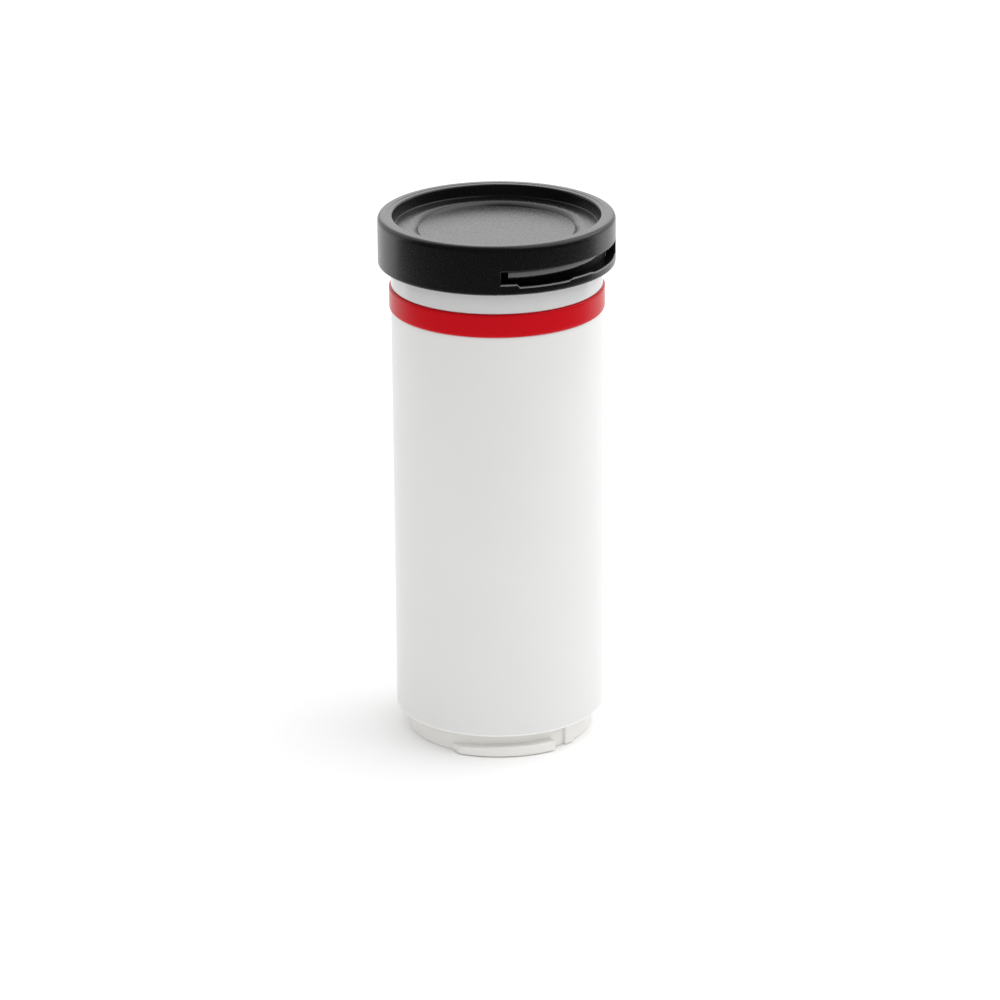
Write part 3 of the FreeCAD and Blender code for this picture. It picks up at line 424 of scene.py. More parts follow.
# Black acetal with a dull, waxy skin.
DULL_BLACK = MouldedPlastic("dull_black_acetal", "#070707", "#060606", 0.55, 4.0, 0.001,
                            specular=0.12, ior=1.48)
# Black ABS that thumbs have polished: mirrors the table softly.
POLISHED_BLACK = MouldedPlastic("polished_black_abs", "#0a0a0b", "#080809", 0.2, 3.0, 0.001,
                                gloss_spread=0.02, specular=1.0)
# Grey for the upward-facing faces of the lid's eased edges: a painted highlight along the window sills.
SILL_HIGHLIGHT_GREY = MouldedPlastic("burnished_black_abs", "#7e7e7d", "#6a6a69", 0.4, 0.3, 0.002)
# Carbon-filled black that swallows stray light round the port.
MATT_BLACK = MouldedPlastic("matt_black_polycarbonate", "#121213", "#0e0e0f", 0.6, 0.35, 0.02)
CHIP_BLACK = MouldedPlastic("chip_epoxy", "#1b1b1d", "#171718", 0.55, 0.2, 0.006)
FRAME_GREY = MouldedPlastic("glass_filled_nylon", "#5b5d60", "#505255", 0.6, 0.5, 0.02)
CONNECTOR_IVORY = MouldedPlastic("connector_nylon", "#dcd8cb", "#d3cfc1", 0.45, 0.4, 0.006)
RIBBON_AMBER = MouldedPlastic("polyimide_film", "#a8641c", "#96540f", 0.25, 2.0, 0.01)
LEAD_RED = MouldedPlastic("lead_silicone", "#a81f1d", "#97191a", 0.5, 0.8, 0.008)
BUTTON_WHITE = MouldedPlastic("soft_white_abs", "#dcdcdb", "#d6d6d5", 0.48, 0.25, 0.005)
PLUNGER_WHITE = MouldedPlastic("plunger_acetal", "#d8d6d0", "#cfcdc7", 0.35, 0.5, 0.004)
STEEL = Metal("zinc_plated_steel", "#b3b6ba", 0.3)
SOCKET_NICKEL = Metal("nickel_plated_steel", "#c4c2bd", 0.24)
CAN_TIN = Metal("tinned_steel", "#c7c9cb", 0.35)
RIVET_BRASS = Metal("turned_brass", "#c9a35a", 0.28)
PORT_GLASS = ClearPiece("crown_glass", "#f4faf8", 0.015, 1.52)
LAMP_CLEAR = ClearPiece("lamp_epoxy", "#fbf8ea", 0.06, 1.54)
PIPE_CLEAR = ClearPiece("clear_polycarbonate", "#f2f6f2", 0.12, 1.58)
TILE_GLAZE = GlazedCeramic("glazed_ceramic", "#f1f1ec", "#e6e5de")
BOARD_GREEN = CircuitBoard("solder_mask_board", "#0f4426", "#1d6238")
CELL_FOIL = Foil("cell_foil", "#c4c7cb")
PAD_FOAM = Foam("polyethylene_foam", "#3a3a3c", "#161617")
SEAL_RUBBER = Foam("sponge_rubber", "#262627", "#101011", 0.35)


@functools.cache
def material_of(finish: Finish) -> Material:
    """Material of a finish, made when it is first asked for."""
    return finish.material()


# Mesh making

# A guard row stands this far from a rounding, or this share of the flat beside it, so that flats shade
# flat.
GUARD = 0.25
GUARD_SHARE = 0.3
# Facets all the way round, on the body and on a screw.
SEGMENTS = 192
SCREW_SEGMENTS = 48
# Edges past these angles in degrees stay sharp, on built pieces and on copies of solids.
CREASE = 38.0
COPY_CREASE = 30.0
# Facets of the roundings of a section, a swept section, a hole's rim, an end and a brow.
ROUND_STEPS = 6
SWEPT_STEPS = 4
RIM_STEPS = 4
END_STEPS = 5
BROW_STEPS = 14
# Facets of an eased edge.
EASE_STEPS = 3
# Sections along the sweep of a window's brow or lip.
SWEEP_STEPS = 40
# Part of the way round an end's rounding, where one more section goes.
END_EASE = 0.3
# How near the axis or a cylinder a point has to be to count as on it.
ON_AXIS = 1e-6
ON_CYLINDER = 1e-3
# Copied corners this close are one, and copied faces within this angle in degrees are one face.
SAME_CORNER = 0.0005
SAME_FACE = 0.3


def polar(radius: float, angle: float, height: float) -> Vector:
    """Point at a radius, an angle round the axis and a height."""
    turn = math.radians(angle)
    return Vector((radius * math.sin(turn), -radius * math.cos(turn), height))


def spaced(start: float, end: float, steps: int) -> list[float]:
    """Even steps from start to end, both included."""
    return [start + (end - start) * step / steps for step in range(steps + 1)]


def quarter(steps: int) -> list[Point]:
    """Sine and cosine at even steps through a quarter turn, both ends included."""
    return [(math.sin(turn), math.cos(turn)) for turn in spaced(0.0, math.pi / 2, steps)]


def looked_up(table: tuple[Point, ...], place: float) -> float:
    """Read a value from a table, on straight lines between its rows and level past its ends.

    Args:
        table: Places in rising order, each with its value.
        place: Place that is read.

    Returns:
        The value there.
    """
    place = min(max(place, table[0][0]), table[-1][0])
    for (first, low), (second, high) in zip(table, table[1:]):
        if place <= second:
            return low + (high - low) * (place - first) / (second - first)
    return table[-1][1]


def rounded(corners: list[Corner], steps: int = ROUND_STEPS) -> list[Point]:
    """Round the corners of a closed half section.

    Args:
        corners: Radius, height and rounding of each corner, in order round the section.
        steps: Facets of each rounding.

    Returns:
        Points of the section, with a guard point beside each rounding so that flats shade flat.
    """
    points: list[Point] = []
    for index, (radius, height, size) in enumerate(corners):
        here = Vector((radius, height))
        if size == 0.0:
            points.append((radius, height))
            continue
        back = Vector(corners[index - 1][:2]) - here
        ahead = Vector(corners[(index + 1) % len(corners)][:2]) - here
        half = back.angle(ahead) / 2
        reach = size / math.tan(half)
        centre = here + (back.normalized() + ahead.normalized()).normalized() * (size / math.sin(half))
        start = here + back.normalized() * reach - centre
        end = here + ahead.normalized() * reach - centre
        first = math.atan2(start.y, start.x)
        sweep = (math.atan2(end.y, end.x) - first + math.pi) % (2 * math.pi) - math.pi
        before = here + back.normalized() * (reach + min(GUARD, (back.length - reach) * GUARD_SHARE))
        after = here + ahead.normalized() * (reach + min(GUARD, (ahead.length - reach) * GUARD_SHARE))
        points.append((before.x, before.y))
        for angle in spaced(first, first + sweep, steps):
            points.append((centre.x + size * math.cos(angle), centre.y + size * math.sin(angle)))
        points.append((after.x, after.y))
    return points


class Draft:
    """Mesh in millimetres that becomes one piece of the reader."""

    def __init__(self) -> None:
        """Start with no faces."""
        self.mesh = bmesh.new()

    def loop(self, points: list[Vector]) -> Row:
        """Add a row of points."""
        return [self.mesh.verts.new(point) for point in points]

    def ring(self, radius: float, height: float, segments: int = SEGMENTS) -> Row:
        """Add a row of points all the way round the axis."""
        return self.loop([polar(radius, 360.0 * step / segments, height) for step in range(segments)])

    def face(self, corners: Row) -> None:
        """Add a face, leaving out corners that are the same point."""
        distinct = list(dict.fromkeys(corners))
        if len(distinct) > 2:
            self.mesh.faces.new(distinct)

    def skin(self, rows: list[Row]) -> None:
        """Join closed rows of as many points, one after another, by faces."""
        for first, second in zip(rows, rows[1:]):
            for index in range(len(first)):
                step = (index + 1) % len(first)
                self.face([first[index], first[step], second[step], second[index]])

    def stack(self, rows: list[Row]) -> None:
        """Join closed rows and close both ends."""
        self.skin(rows)
        self.face(rows[0])
        self.face(rows[-1])

    def turned(self, section: list[Point], segments: int = SEGMENTS) -> None:
        """Turn a closed half section about the axis.

        Args:
            section: Points of radius and height; a point on the axis becomes a pole.
            segments: Facets all the way round.
        """
        rows = []
        for radius, height in section:
            if radius < ON_AXIS:
                rows.append(self.loop([Vector((0.0, 0.0, height))]) * segments)
            else:
                rows.append(self.ring(radius, height, segments))
        for index, row in enumerate(rows):
            following = rows[(index + 1) % len(rows)]
            if row[0] is not row[1] or following[0] is not following[1]:
                self.skin([row, following])

    def arc(self, sections: list[Section]) -> None:
        """Sweep changing sections round part of the axis and close both ends.

        Args:
            sections: Angle, and the corners of the section there.
        """
        rows = []
        for angle, corners in sections:
            points = rounded(corners, SWEPT_STEPS)
            rows.append(self.loop([polar(radius, angle, height) for radius, height in points]))
        self.stack(rows)

    def eased(self, radius: float, width: float, crease: float) -> list[bmesh.types.BMFace]:
        """Round the sharp edges that lie on a cylinder about the axis.

        Args:
            radius: Radius of the cylinder.
            width: Radius of the rounding.
            crease: Angle in degrees past which an edge is sharp.

        Returns:
            The faces of the rounding.
        """
        bmesh.ops.recalc_face_normals(self.mesh, faces=self.mesh.faces)
        sharp = [edge for edge in self.mesh.edges
                 if edge.is_manifold and edge.calc_face_angle() > math.radians(crease)
                 and all(abs(vert.co.xy.length - radius) < ON_CYLINDER for vert in edge.verts)]
        made = bmesh.ops.bevel(self.mesh, geom=sharp, offset=width, offset_type="OFFSET",
                               segments=EASE_STEPS, profile=0.5, affect="EDGES", clamp_overlap=False)
        return made["faces"]

    def piece(self, name: str, finish: Finish, crease: float = CREASE, line: Finish | None = None) -> Object:
        """Finish the draft as an object at the origin, in metres.

        Args:
            name: Name of the piece.
            finish: Finish that it gets.
            crease: Angle in degrees past which an edge stays sharp.
            line: Finish of its eased edges, or None where it has none.

        Returns:
            The new object.
        """
        bmesh.ops.scale(self.mesh, vec=(MM, MM, MM), verts=self.mesh.verts)
        bmesh.ops.recalc_face_normals(self.mesh, faces=self.mesh.faces)
        data = bpy.data.meshes.new(name)
        self.mesh.to_mesh(data)
        self.mesh.free()
        data.materials.append(material_of(finish))
        made = linked(name, data)
        smooth(data, crease)
        if line:
            data.materials.append(material_of(line))
            flattened(made)
        return made


def turned_piece(name: str, finish: Finish, corners: list[Corner], segments: int = SEGMENTS) -> Object:
    """Make a piece that is turned about the axis.

    Args:
        name: Name of the piece.
        finish: Finish that it gets.
        corners: Radius, height and rounding of each corner of its half section.
        segments: Facets all the way round.

    Returns:
        The new object.
    """
    draft = Draft()
    draft.turned(rounded(corners), segments)
    return draft.piece(name, finish)


def linked(name: str, data: ID) -> Object:
    """Put a new object with a name and its data in the scene."""
    made = bpy.data.objects.new(name, data)
    bpy.context.scene.collection.objects.link(made)
    return made


def smooth(data: Mesh, crease: float) -> None:
    """Shade a mesh smooth apart from edges past an angle in degrees."""
    data.shade_smooth()
    data.set_sharp_from_angle(angle=math.radians(crease))


def settled(made: Object) -> None:
    """Turn what an object's modifiers give into its plain mesh."""
    bpy.context.view_layer.update()
    evaluated = made.evaluated_get(bpy.context.evaluated_depsgraph_get())
    data = bpy.data.meshes.new_from_object(evaluated)
    made.modifiers.clear()
    made.data = data
    data.name = made.name


def flattened(made: Object) -> None:
    """Let an object's large faces set its normals, so that narrow faces beside them shade evenly."""
    made.modifiers.new("flats", "WEIGHTED_NORMAL").keep_sharp = True
    settled(made)


def trued(data: Mesh, crease: float, step: float = 0.003, lean: float = 0.05) -> None:
    """Shade a mesh smooth, with normals straight out from the axis on its turned walls.

    Args:
        data: Mesh to shade.
        crease: Angle in degrees past which an edge stays sharp.
        step: How far the radius of a turned wall may vary.
        lean: How far the normal of a turned wall may point up or down.
    """
    smooth(data, crease)
    normals = [corner.vector.copy() for corner in data.corner_normals]
    for face in data.polygons:
        radii = [data.vertices[index].co.xy.length for index in face.vertices]
        if max(radii) - min(radii) > step * MM or abs(face.normal.z) > lean:
            continue
        for loop in face.loop_indices:
            outward = data.vertices[data.loops[loop].vertex_index].co.xy.normalized()
            side = math.copysign(1.0, face.normal.xy.dot(outward))
            normals[loop] = Vector((outward.x * side, outward.y * side, 0.0))
    data.normals_split_custom_set(normals)


def dropped(made: Object) -> None:
    """Remove a helper object and its mesh."""
    data = made.data
    bpy.data.objects.remove(made)
    bpy.data.meshes.remove(data)


def cut(made: Object, cutters: list[Object]) -> Object:
    """Cut helper objects out of an object.

    Args:
        made: Object that is cut.
        cutters: What is cut out of it; they are removed afterwards.

    Returns:
        The object that was cut.
    """
    for cutter in cutters:
        modifier = made.modifiers.new("cut", "BOOLEAN")
        modifier.object = cutter
        modifier.solver = "EXACT"
        settled(made)
        dropped(cutter)
    smooth(made.data, CREASE)
    return made


def seated(made: Object, body: Body, slot: str, *nodes: str) -> None:
    """Let a finished piece ride on its body in place of the solids it stands for.

    Args:
        made: The piece.
        body: Body that carries it.
        slot: The record's material slot; not used.
        nodes: Solids that it replaces.
    """
    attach(made, body.value)
    if nodes:
        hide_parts(*nodes)
    LOG.info("%s on %s, %d faces", made.name, body.value, len(made.data.polygons))


def seat_copy(node: str, name: str, finish: Finish, body: Body, slot: str) -> None:
    """Copy a solid's mesh, merge its triangles, shade it smooth and seat it.

    Args:
        node: Solid that is copied and replaced.
        name: Name of the copy.
        finish: Finish that it gets.
        body: Body that carries it.
        slot: The record's material slot.
    """
    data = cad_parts[node].data.copy()
    data.name = name
    merged = bmesh.new()
    merged.from_mesh(data)
    bmesh.ops.remove_doubles(merged, verts=merged.verts, dist=SAME_CORNER * MM)
    bmesh.ops.dissolve_limit(merged, angle_limit=math.radians(SAME_FACE), verts=merged.verts,
                             edges=merged.edges)
    merged.to_mesh(data)
    merged.free()
    data.materials.clear()
    data.materials.append(material_of(finish))
    made = linked(name, data)
    trued(data, COPY_CREASE)
    seated(made, body, slot, node)


class Repeater:
    """Geometry Nodes tree that sets a form at points and turns each copy about the axis."""

    def __init__(self) -> None:
        """Build the tree with its named inputs."""
        self.tree = bpy.data.node_groups.new("repeated_form", "GeometryNodeTree")
        for name, kind in (("Points", "Geometry"), ("Form", "Object"), ("Turn", "Float"),
                           ("Material", "Material")):
            self.tree.interface.new_socket(name, in_out="INPUT", socket_type="NodeSocket" + kind)
        self.tree.interface.new_socket("Geometry", in_out="OUTPUT", socket_type="NodeSocketGeometry")
        given = add(self.tree, "NodeGroupInput")
        form = add(self.tree, "GeometryNodeObjectInfo", {"Object": given.outputs["Form"]})
        index = add(self.tree, "GeometryNodeInputIndex")
        turn = compute(self.tree, "MULTIPLY", index.outputs[0], given.outputs["Turn"])
        angles = add(self.tree, "ShaderNodeCombineXYZ", {"Z": turn})
        spread = add(self.tree, "GeometryNodeInstanceOnPoints",
                     {"Points": given.outputs["Points"], "Instance": form.outputs["Geometry"],
                      "Rotation": angles.outputs[0]})
        real = add(self.tree, "GeometryNodeRealizeInstances", {"Geometry": spread.outputs[0]})
        dressed = add(self.tree, "GeometryNodeSetMaterial",
                      {"Geometry": real.outputs[0], "Material": given.outputs["Material"]})
        add(self.tree, "NodeGroupOutput", {"Geometry": dressed.outputs[0]})

    def spread(self, name: str, form: Object, points: list[Vector], turn: float,
               finish: Finish) -> Object:
        """Set a form at points and make the result a plain mesh.

        Args:
            name: Name of the piece.
            form: One form at the origin; it is removed afterwards.
            points: Where the copies go, in millimetres.
            turn: Degrees between one copy and the next.
            finish: Finish that they get.

        Returns:
            The piece with all the copies.
        """
        data = bpy.data.meshes.new(name)
        data.from_pydata([point * MM for point in points], [], [])
        made = linked(name, data)
        modifier = made.modifiers.new("repeat", "NODES")
        modifier.node_group = self.tree
        values = {"Form": form, "Turn": math.radians(turn), "Material": material_of(finish)}
        for item in self.tree.interface.items_tree:
            if item.in_out == "INPUT" and item.name in values:
                modifier[item.identifier] = values[item.name]
        settled(made)
        dropped(form)
        return made

    def pair(self, name: str, sections: list[Section], finish: Finish) -> Object:
        """Make a swept form twice, half a turn apart.

        Args:
            name: Name of the piece.
            sections: Angle, and the corners of the section there.
            finish: Finish that it gets.

        Returns:
            The piece with both forms.
        """
        draft = Draft()
        draft.arc(sections)
        form = draft.piece(name + "_form", finish)
        return self.spread(name, form, [Vector(), Vector()], 180.0, finish)


# Sub-assemblies

@dataclass
class WallHole:
    """Round hole through the back of the tube.

    Attributes:
        height: Height of its centre.
        radius: Radius of the hole.
        rim: Rounding of its outer rim.
        columns: Half its patch in wall columns.
        rows: Wall rows that its patch takes.
        reach: Half the height of its patch.
    """

    height: float
    radius: float
    rim: float
    columns: int
    rows: int
    reach: float

    def levels(self) -> list[float]:
        """Heights of the wall rows across the patch."""
        return spaced(self.height - self.reach, self.height + self.reach, self.rows)


@dataclass
class Tube:
    """White tube with the holes of the button and the status light in its back."""

    radius: float = 17.0
    inner: float = 15.2
    low: float = 3.8
    high: float = 71.8
    foot_edge: float = 0.35
    top_edge: float = 0.15
    rows_below: tuple[float, ...] = (12.0, 20.0, 28.0, 35.0)
    row_above: float = 62.0
    mouth_shares: tuple[float, ...] = (0.65, 0.35, 0.12, 0.0)
    button_hole: WallHole = field(default_factory=lambda: WallHole(46.0, 4.9, 0.3, 11, 22, 6.1))
    light_hole: WallHole = field(default_factory=lambda: WallHole(54.1, 1.3, 0.15, 4, 8, 2.0))

    def row_heights(self) -> list[float]:
        """Heights of the wall's rows, with guard rows at both ends."""
        first = self.low + self.foot_edge
        last = self.high - self.top_edge
        holes = self.button_hole.levels() + self.light_hole.levels()[1:]
        return [first, first + GUARD, *self.rows_below, *holes, self.row_above, last - GUARD, last]

    def wall(self, draft: Draft, radius: float, rims: bool) -> tuple[Row, Row, list[Row]]:
        """Add one wall of the tube, with its holes.

        Args:
            draft: Mesh that gets the wall.
            radius: Radius of the wall.
            rims: Whether the holes' rims are rounded, as on the outside.

        Returns:
            The lowest row, the highest row and the inner loop of each hole.
        """
        heights = self.row_heights()
        rows = [draft.ring(radius, height) for height in heights]
        patches = []
        middle = SEGMENTS // 2
        for hole in (self.button_hole, self.light_hole):
            low = min(range(len(heights)), key=lambda index: abs(heights[index] - hole.levels()[0]))
            patches.append((hole, low, low + hole.rows, middle - hole.columns, middle + hole.columns))
        for row in range(len(rows) - 1):
            for step in range(SEGMENTS):
                if any(low <= row < high and left <= step < right for _, low, high, left, right in patches):
                    continue
                ahead = (step + 1) % SEGMENTS
                draft.face([rows[row][step], rows[row][ahead], rows[row + 1][ahead], rows[row + 1][step]])
        mouths = []
        for hole, low, high, left, right in patches:
            border = rows[low][left:right]
            border += [rows[row][right] for row in range(low, high)]
            border += [rows[high][step] for step in range(right, left, -1)]
            border += [rows[row][left] for row in range(high, low, -1)]
            for row in rows[low + 1:high]:
                for spare in row[left + 1:right]:
                    draft.mesh.verts.remove(spare)
            mouths.append(self.mouth(draft, radius, hole, border, rims))
        return rows[0], rows[-1], mouths

    def mouth(self, draft: Draft, radius: float, hole: WallHole, border: Row, rims: bool) -> Row:
        """Fill the patch round a hole and round its rim.

        Args:
            draft: Mesh that gets the faces.
            radius: Radius of the wall.
            hole: The hole.
            border: Points of the patch's border, in order.
            rims: Whether the rim is rounded.

        Returns:
            The last loop, on the hole's own wall.
        """
        rim = hole.rim if rims else 0.0
        spots = [Vector((vert.co.x, vert.co.z - hole.height)) for vert in border]
        rows = [border]
        for share in self.mouth_shares:
            reach = (hole.radius + rim) * (1 - share)
            places = [spot * share + spot.normalized() * reach for spot in spots]
            rows.append(draft.loop([self.on_back(radius, place, hole.height) for place in places]))
        for sine, cosine in quarter(RIM_STEPS)[1:] if rims else []:
            reach = hole.radius + rim * (1 - sine)
            level = radius - rim * (1 - cosine)
            rows.append(draft.loop([self.on_back(level, spot.normalized() * reach, hole.height)
                                    for spot in spots]))
        draft.skin(rows)
        return rows[-1]

    def on_back(self, radius: float, spot: Vector, height: float) -> Vector:
        """Point on the back of a wall, from its place across and up from a hole's centre."""
        return Vector((spot.x, math.sqrt(radius ** 2 - spot.x ** 2), height + spot.y))

    def end(self, draft: Draft, outside: Row, inside: Row, edge: float, height: float,
            inwards: int) -> None:
        """Round one end of the tube and close it.

        Args:
            draft: Mesh that gets the faces.
            outside: Last row of the outer wall.
            inside: Last row of the inner wall.
            edge: Rounding of the outer edge.
            height: Height of the end.
            inwards: 1 where the tube lies above the end, -1 where it lies below.
        """
        rows = [outside]
        for sine, cosine in quarter(END_STEPS)[1:]:
            rows.append(draft.ring(self.radius - edge * (1 - cosine), height + inwards * edge * (1 - sine)))
        rows.append(draft.ring(self.radius - edge - GUARD, height))
        rows.append(draft.ring(self.inner, height))
        draft.skin(rows + [inside])

    def build(self) -> Object:
        """Make the tube: outer wall, inner wall, hole walls and rounded ends."""
        draft = Draft()
        low, high, mouths = self.wall(draft, self.radius, True)
        inner_low, inner_high, inner_mouths = self.wall(draft, self.inner, False)
        for mouth, inner_mouth in zip(mouths, inner_mouths):
            draft.skin([mouth, inner_mouth])
        self.end(draft, low, inner_low, self.foot_edge, self.low, 1)
        self.end(draft, high, inner_high, self.top_edge, self.high, -1)
        made = draft.piece("body_tube_skin", SATIN_WHITE)
        made.data.materials.append(material_of(FOOT_HIGHLIGHT_WHITE))
        # The outer faces of the foot's rounding take the near-white finish, a painted highlight.
        for face in made.data.polygons:
            outside = face.center.xy.length > (self.radius - self.foot_edge) * MM
            if outside and face.center.z < (self.low + self.foot_edge) * MM:
                face.material_index = 1
        return made

    def dress(self) -> None:
        """Build the tube and seat it."""
        seated(self.build(), Body.READER, "body_white", "body_tube")


@dataclass
class Bands:
    """Red ring and polished neck above the tube."""

    tube_r: float = 17.0
    inner: float = 15.2
    ring_low: float = 71.8
    ring_high: float = 75.6
    ring_r: float = 17.3
    ring_edge: float = 0.35
    neck_high: float = 79.2
    neck_edge: float = 0.25
    neck_in_edge: float = 0.1
    neck_floor: float = 76.2
    web_low: float = 74.6
    web_bore: float = 10.5
    sleeve_r: float = 15.1
    sleeve_in: float = 13.7
    sleeve_low: float = 66.6

    def red_ring(self) -> Object:
        """Make the red ring."""
        return turned_piece("red_ring_skin", SATIN_RED, [
            (self.ring_r, self.ring_low, self.ring_edge), (self.ring_r, self.ring_high, self.ring_edge),
            (self.inner, self.ring_high, 0.0), (self.inner, self.ring_low, 0.0)])

    def neck(self) -> Object:
        """Make the neck with its floor, web and sleeve."""
        return turned_piece("neck_ring_skin", GLOSS_WHITE, [
            (self.tube_r, self.ring_high, self.neck_edge), (self.tube_r, self.neck_high, self.neck_edge),
            (self.inner, self.neck_high, self.neck_in_edge), (self.inner, self.neck_floor, 0.0),
            (self.web_bore, self.neck_floor, 0.0), (self.web_bore, self.web_low, 0.0),
            (self.sleeve_in, self.web_low, 0.0), (self.sleeve_in, self.sleeve_low, 0.0),
            (self.sleeve_r, self.sleeve_low, 0.0), (self.sleeve_r, self.ring_high, 0.0)])

    def dress(self) -> None:
        """Build both bands and seat them."""
        seated(self.red_ring(), Body.READER, "ring_red", "red_ring")
        seated(self.neck(), Body.READER, "neck_white", "neck_ring")


@dataclass
class RearCap:
    """Rear cap that the reader stands on, with its bayonet, socket and screws."""

    radius: float = 15.1
    foot_in: float = 13.2
    plug_in: float = 13.4
    floor_low: float = 1.4
    floor_high: float = 3.2
    high: float = 9.0
    foot_edge: float = 0.25
    floor_edge: float = 0.2
    plug_edge: float = 0.3
    root: float = 0.5
    lug_r: float = 16.5
    lug_low: float = 0.15
    lug_high: float = 1.85
    lug_start: float = -24.0
    lug_arc: float = 57.0
    slant_arc: float = 7.5
    slant_soft: float = 0.006
    slant_steps: int = 16
    lug_steps: int = 36
    ramp_arc: float = 30.0
    ramp_drop: float = 0.6
    rib_r: float = 15.65
    rib_start: float = 43.0
    rib_arc: float = 7.3
    rib_low: float = 0.1
    rib_high: float = 3.8
    edge: float = 0.16
    edge_least: float = 0.02
    edge_share: float = 0.4
    slot_half: float = 4.05
    slot_near: float = 3.13
    slot_far: float = 6.43
    slot_corner: float = 0.5
    cut_past: float = 0.6
    screw_x: float = 11.0
    screw_y: float = 0.03
    screw_turn: float = 25.0
    bore_r: float = 1.8
    bore_high: float = 2.2
    head_r: float = 1.65
    head_h: float = 0.8
    head_edge: float = 0.05
    head_dome: float = 0.32
    shank_r: float = 0.8
    shank: float = 11.3
    cross_half: float = 0.15
    cross_reach: float = 1.0
    cross_taper: float = 0.55
    cross_depth: float = 0.4
    cross_past: float = 0.2

    def shell(self) -> Object:
        """Make the cap's wall and floor, with the socket slot and the screw bores cut out."""
        made = turned_piece("rear_cap_skin", WARM_GREY, [
            (self.radius, 0.0, self.foot_edge), (self.radius, self.high, self.plug_edge),
            (self.plug_in, self.high, 0.0), (self.plug_in, self.floor_high, 0.0),
            (0.0, self.floor_high, 0.0), (0.0, self.floor_low, 0.0),
            (self.foot_in, self.floor_low, self.floor_edge), (self.foot_in, 0.0, self.floor_edge)])
        return cut(made, self.cutters())

    def screw_points(self) -> list[Vector]:
        """Where the two screws stand."""
        return [Vector((side * self.screw_x, self.screw_y, 0.0)) for side in (-1, 1)]

    def cutters(self) -> list[Object]:
        """Make what is cut out of the floor."""
        low = self.floor_low - self.cut_past
        high = self.floor_high + self.cut_past
        middle = (self.slot_near + self.slot_far) / 2
        half = (self.slot_far - self.slot_near) / 2
        slot = Draft()
        outline = rounded([(x * self.slot_half, y * half, self.slot_corner)
                           for x, y in ((1, -1), (1, 1), (-1, 1), (-1, -1))])
        slot.stack([slot.loop([Vector((x, middle + y, height)) for x, y in outline])
                    for height in (low, high)])
        made = [slot.piece("slot_cutter", WARM_GREY)]
        for place in self.screw_points():
            bore = Draft()
            bore.turned([(self.bore_r, low), (self.bore_r, self.bore_high),
                         (0.0, self.bore_high), (0.0, low)], SCREW_SEGMENTS)
            bmesh.ops.translate(bore.mesh, vec=place, verts=bore.mesh.verts)
            made.append(bore.piece("bore_cutter", WARM_GREY))
        return made

    def lug_reach(self, angle: float) -> float:
        """Outer radius of a lug, which slants down to its root at the lead end."""
        if angle > self.slant_arc:
            return self.lug_r
        root = polar(self.radius, -self.slant_arc, 0.0)
        along = polar(self.lug_r, 0.0, 0.0) - root
        slant = along.cross(root).z / along.cross(polar(1.0, angle, 0.0)).z
        gap = slant - self.lug_r
        return (slant + self.lug_r - math.sqrt(gap * gap + self.slant_soft)) / 2

    def lug_section(self, angle: float, pull: float) -> Section:
        """Section of a lug.

        Args:
            angle: Degrees from where the outer face begins.
            pull: How far the section is drawn in, to round the ends.

        Returns:
            The angle round the axis and the section's corners.
        """
        inside = self.radius - self.root
        outside = max(self.lug_reach(angle), self.radius) - pull
        slope = self.ramp_drop / (math.radians(self.ramp_arc) * self.lug_r)
        behind = math.sin(math.radians(max(0.0, self.ramp_arc - self.slant_arc - angle)))
        edge = min(self.edge, max(self.edge_least, (outside - self.radius) * self.edge_share))
        low = self.lug_low + pull
        high = self.lug_high - pull
        return (self.lug_start + angle,
                [(inside, low, 0.0), (outside, low, edge), (outside, high - slope * outside * behind, edge),
                 (inside, high - slope * inside * behind, 0.0)])

    def lugs(self, repeater: Repeater) -> Object:
        """Make both bayonet lugs."""
        soft = math.degrees(self.edge / self.lug_r)
        slant = spaced(-self.slant_arc, self.slant_arc, 2 * self.slant_steps)[1:-1]
        plain = spaced(self.slant_arc, self.lug_arc - soft, self.lug_steps)
        sections = [self.lug_section(angle, 0.0) for angle in slant + plain]
        sections.append(self.lug_section(self.lug_arc - soft * END_EASE, self.edge * END_EASE))
        sections.append(self.lug_section(self.lug_arc, self.edge))
        return repeater.pair("rear_cap_lugs", sections, WARM_GREY)

    def ribs(self, repeater: Repeater) -> Object:
        """Make both stop ribs."""
        soft = math.degrees(self.edge / self.rib_r)
        inside = self.radius - self.root
        start = [(0.0, self.edge), (soft * END_EASE, self.edge * END_EASE), (soft, 0.0)]
        end = [(self.rib_arc - angle, pull) for angle, pull in reversed(start)]
        sections = []
        for angle, pull in start + [(self.rib_arc / 2, 0.0)] + end:
            outside = self.rib_r - pull
            sections.append((self.rib_start + angle,
                             [(inside, self.rib_low, 0.0), (outside, self.rib_low, self.edge),
                              (outside, self.rib_high, 0.0), (inside, self.rib_high, 0.0)]))
        return repeater.pair("rear_cap_ribs", sections, WARM_GREY)

    def cross(self, turn: float) -> Object:
        """Make one bar of the cross that is cut out of a screw's head.

        Args:
            turn: Degrees that the bar is turned.

        Returns:
            The bar, which narrows on its way in.
        """
        draft = Draft()
        corners = ((-1, -1), (1, -1), (1, 1), (-1, 1))
        rows = []
        for height, share in ((self.floor_low - self.cross_past, 1.0),
                              (self.floor_low + self.cross_depth, self.cross_taper)):
            rows.append(draft.loop([Vector((x * self.cross_reach * share, y * self.cross_half, height))
                                    for x, y in corners]))
        draft.stack(rows)
        turned = Matrix.Rotation(math.radians(turn), 3, "Z")
        bmesh.ops.rotate(draft.mesh, verts=draft.mesh.verts, matrix=turned)
        return draft.piece("cross_cutter", STEEL)

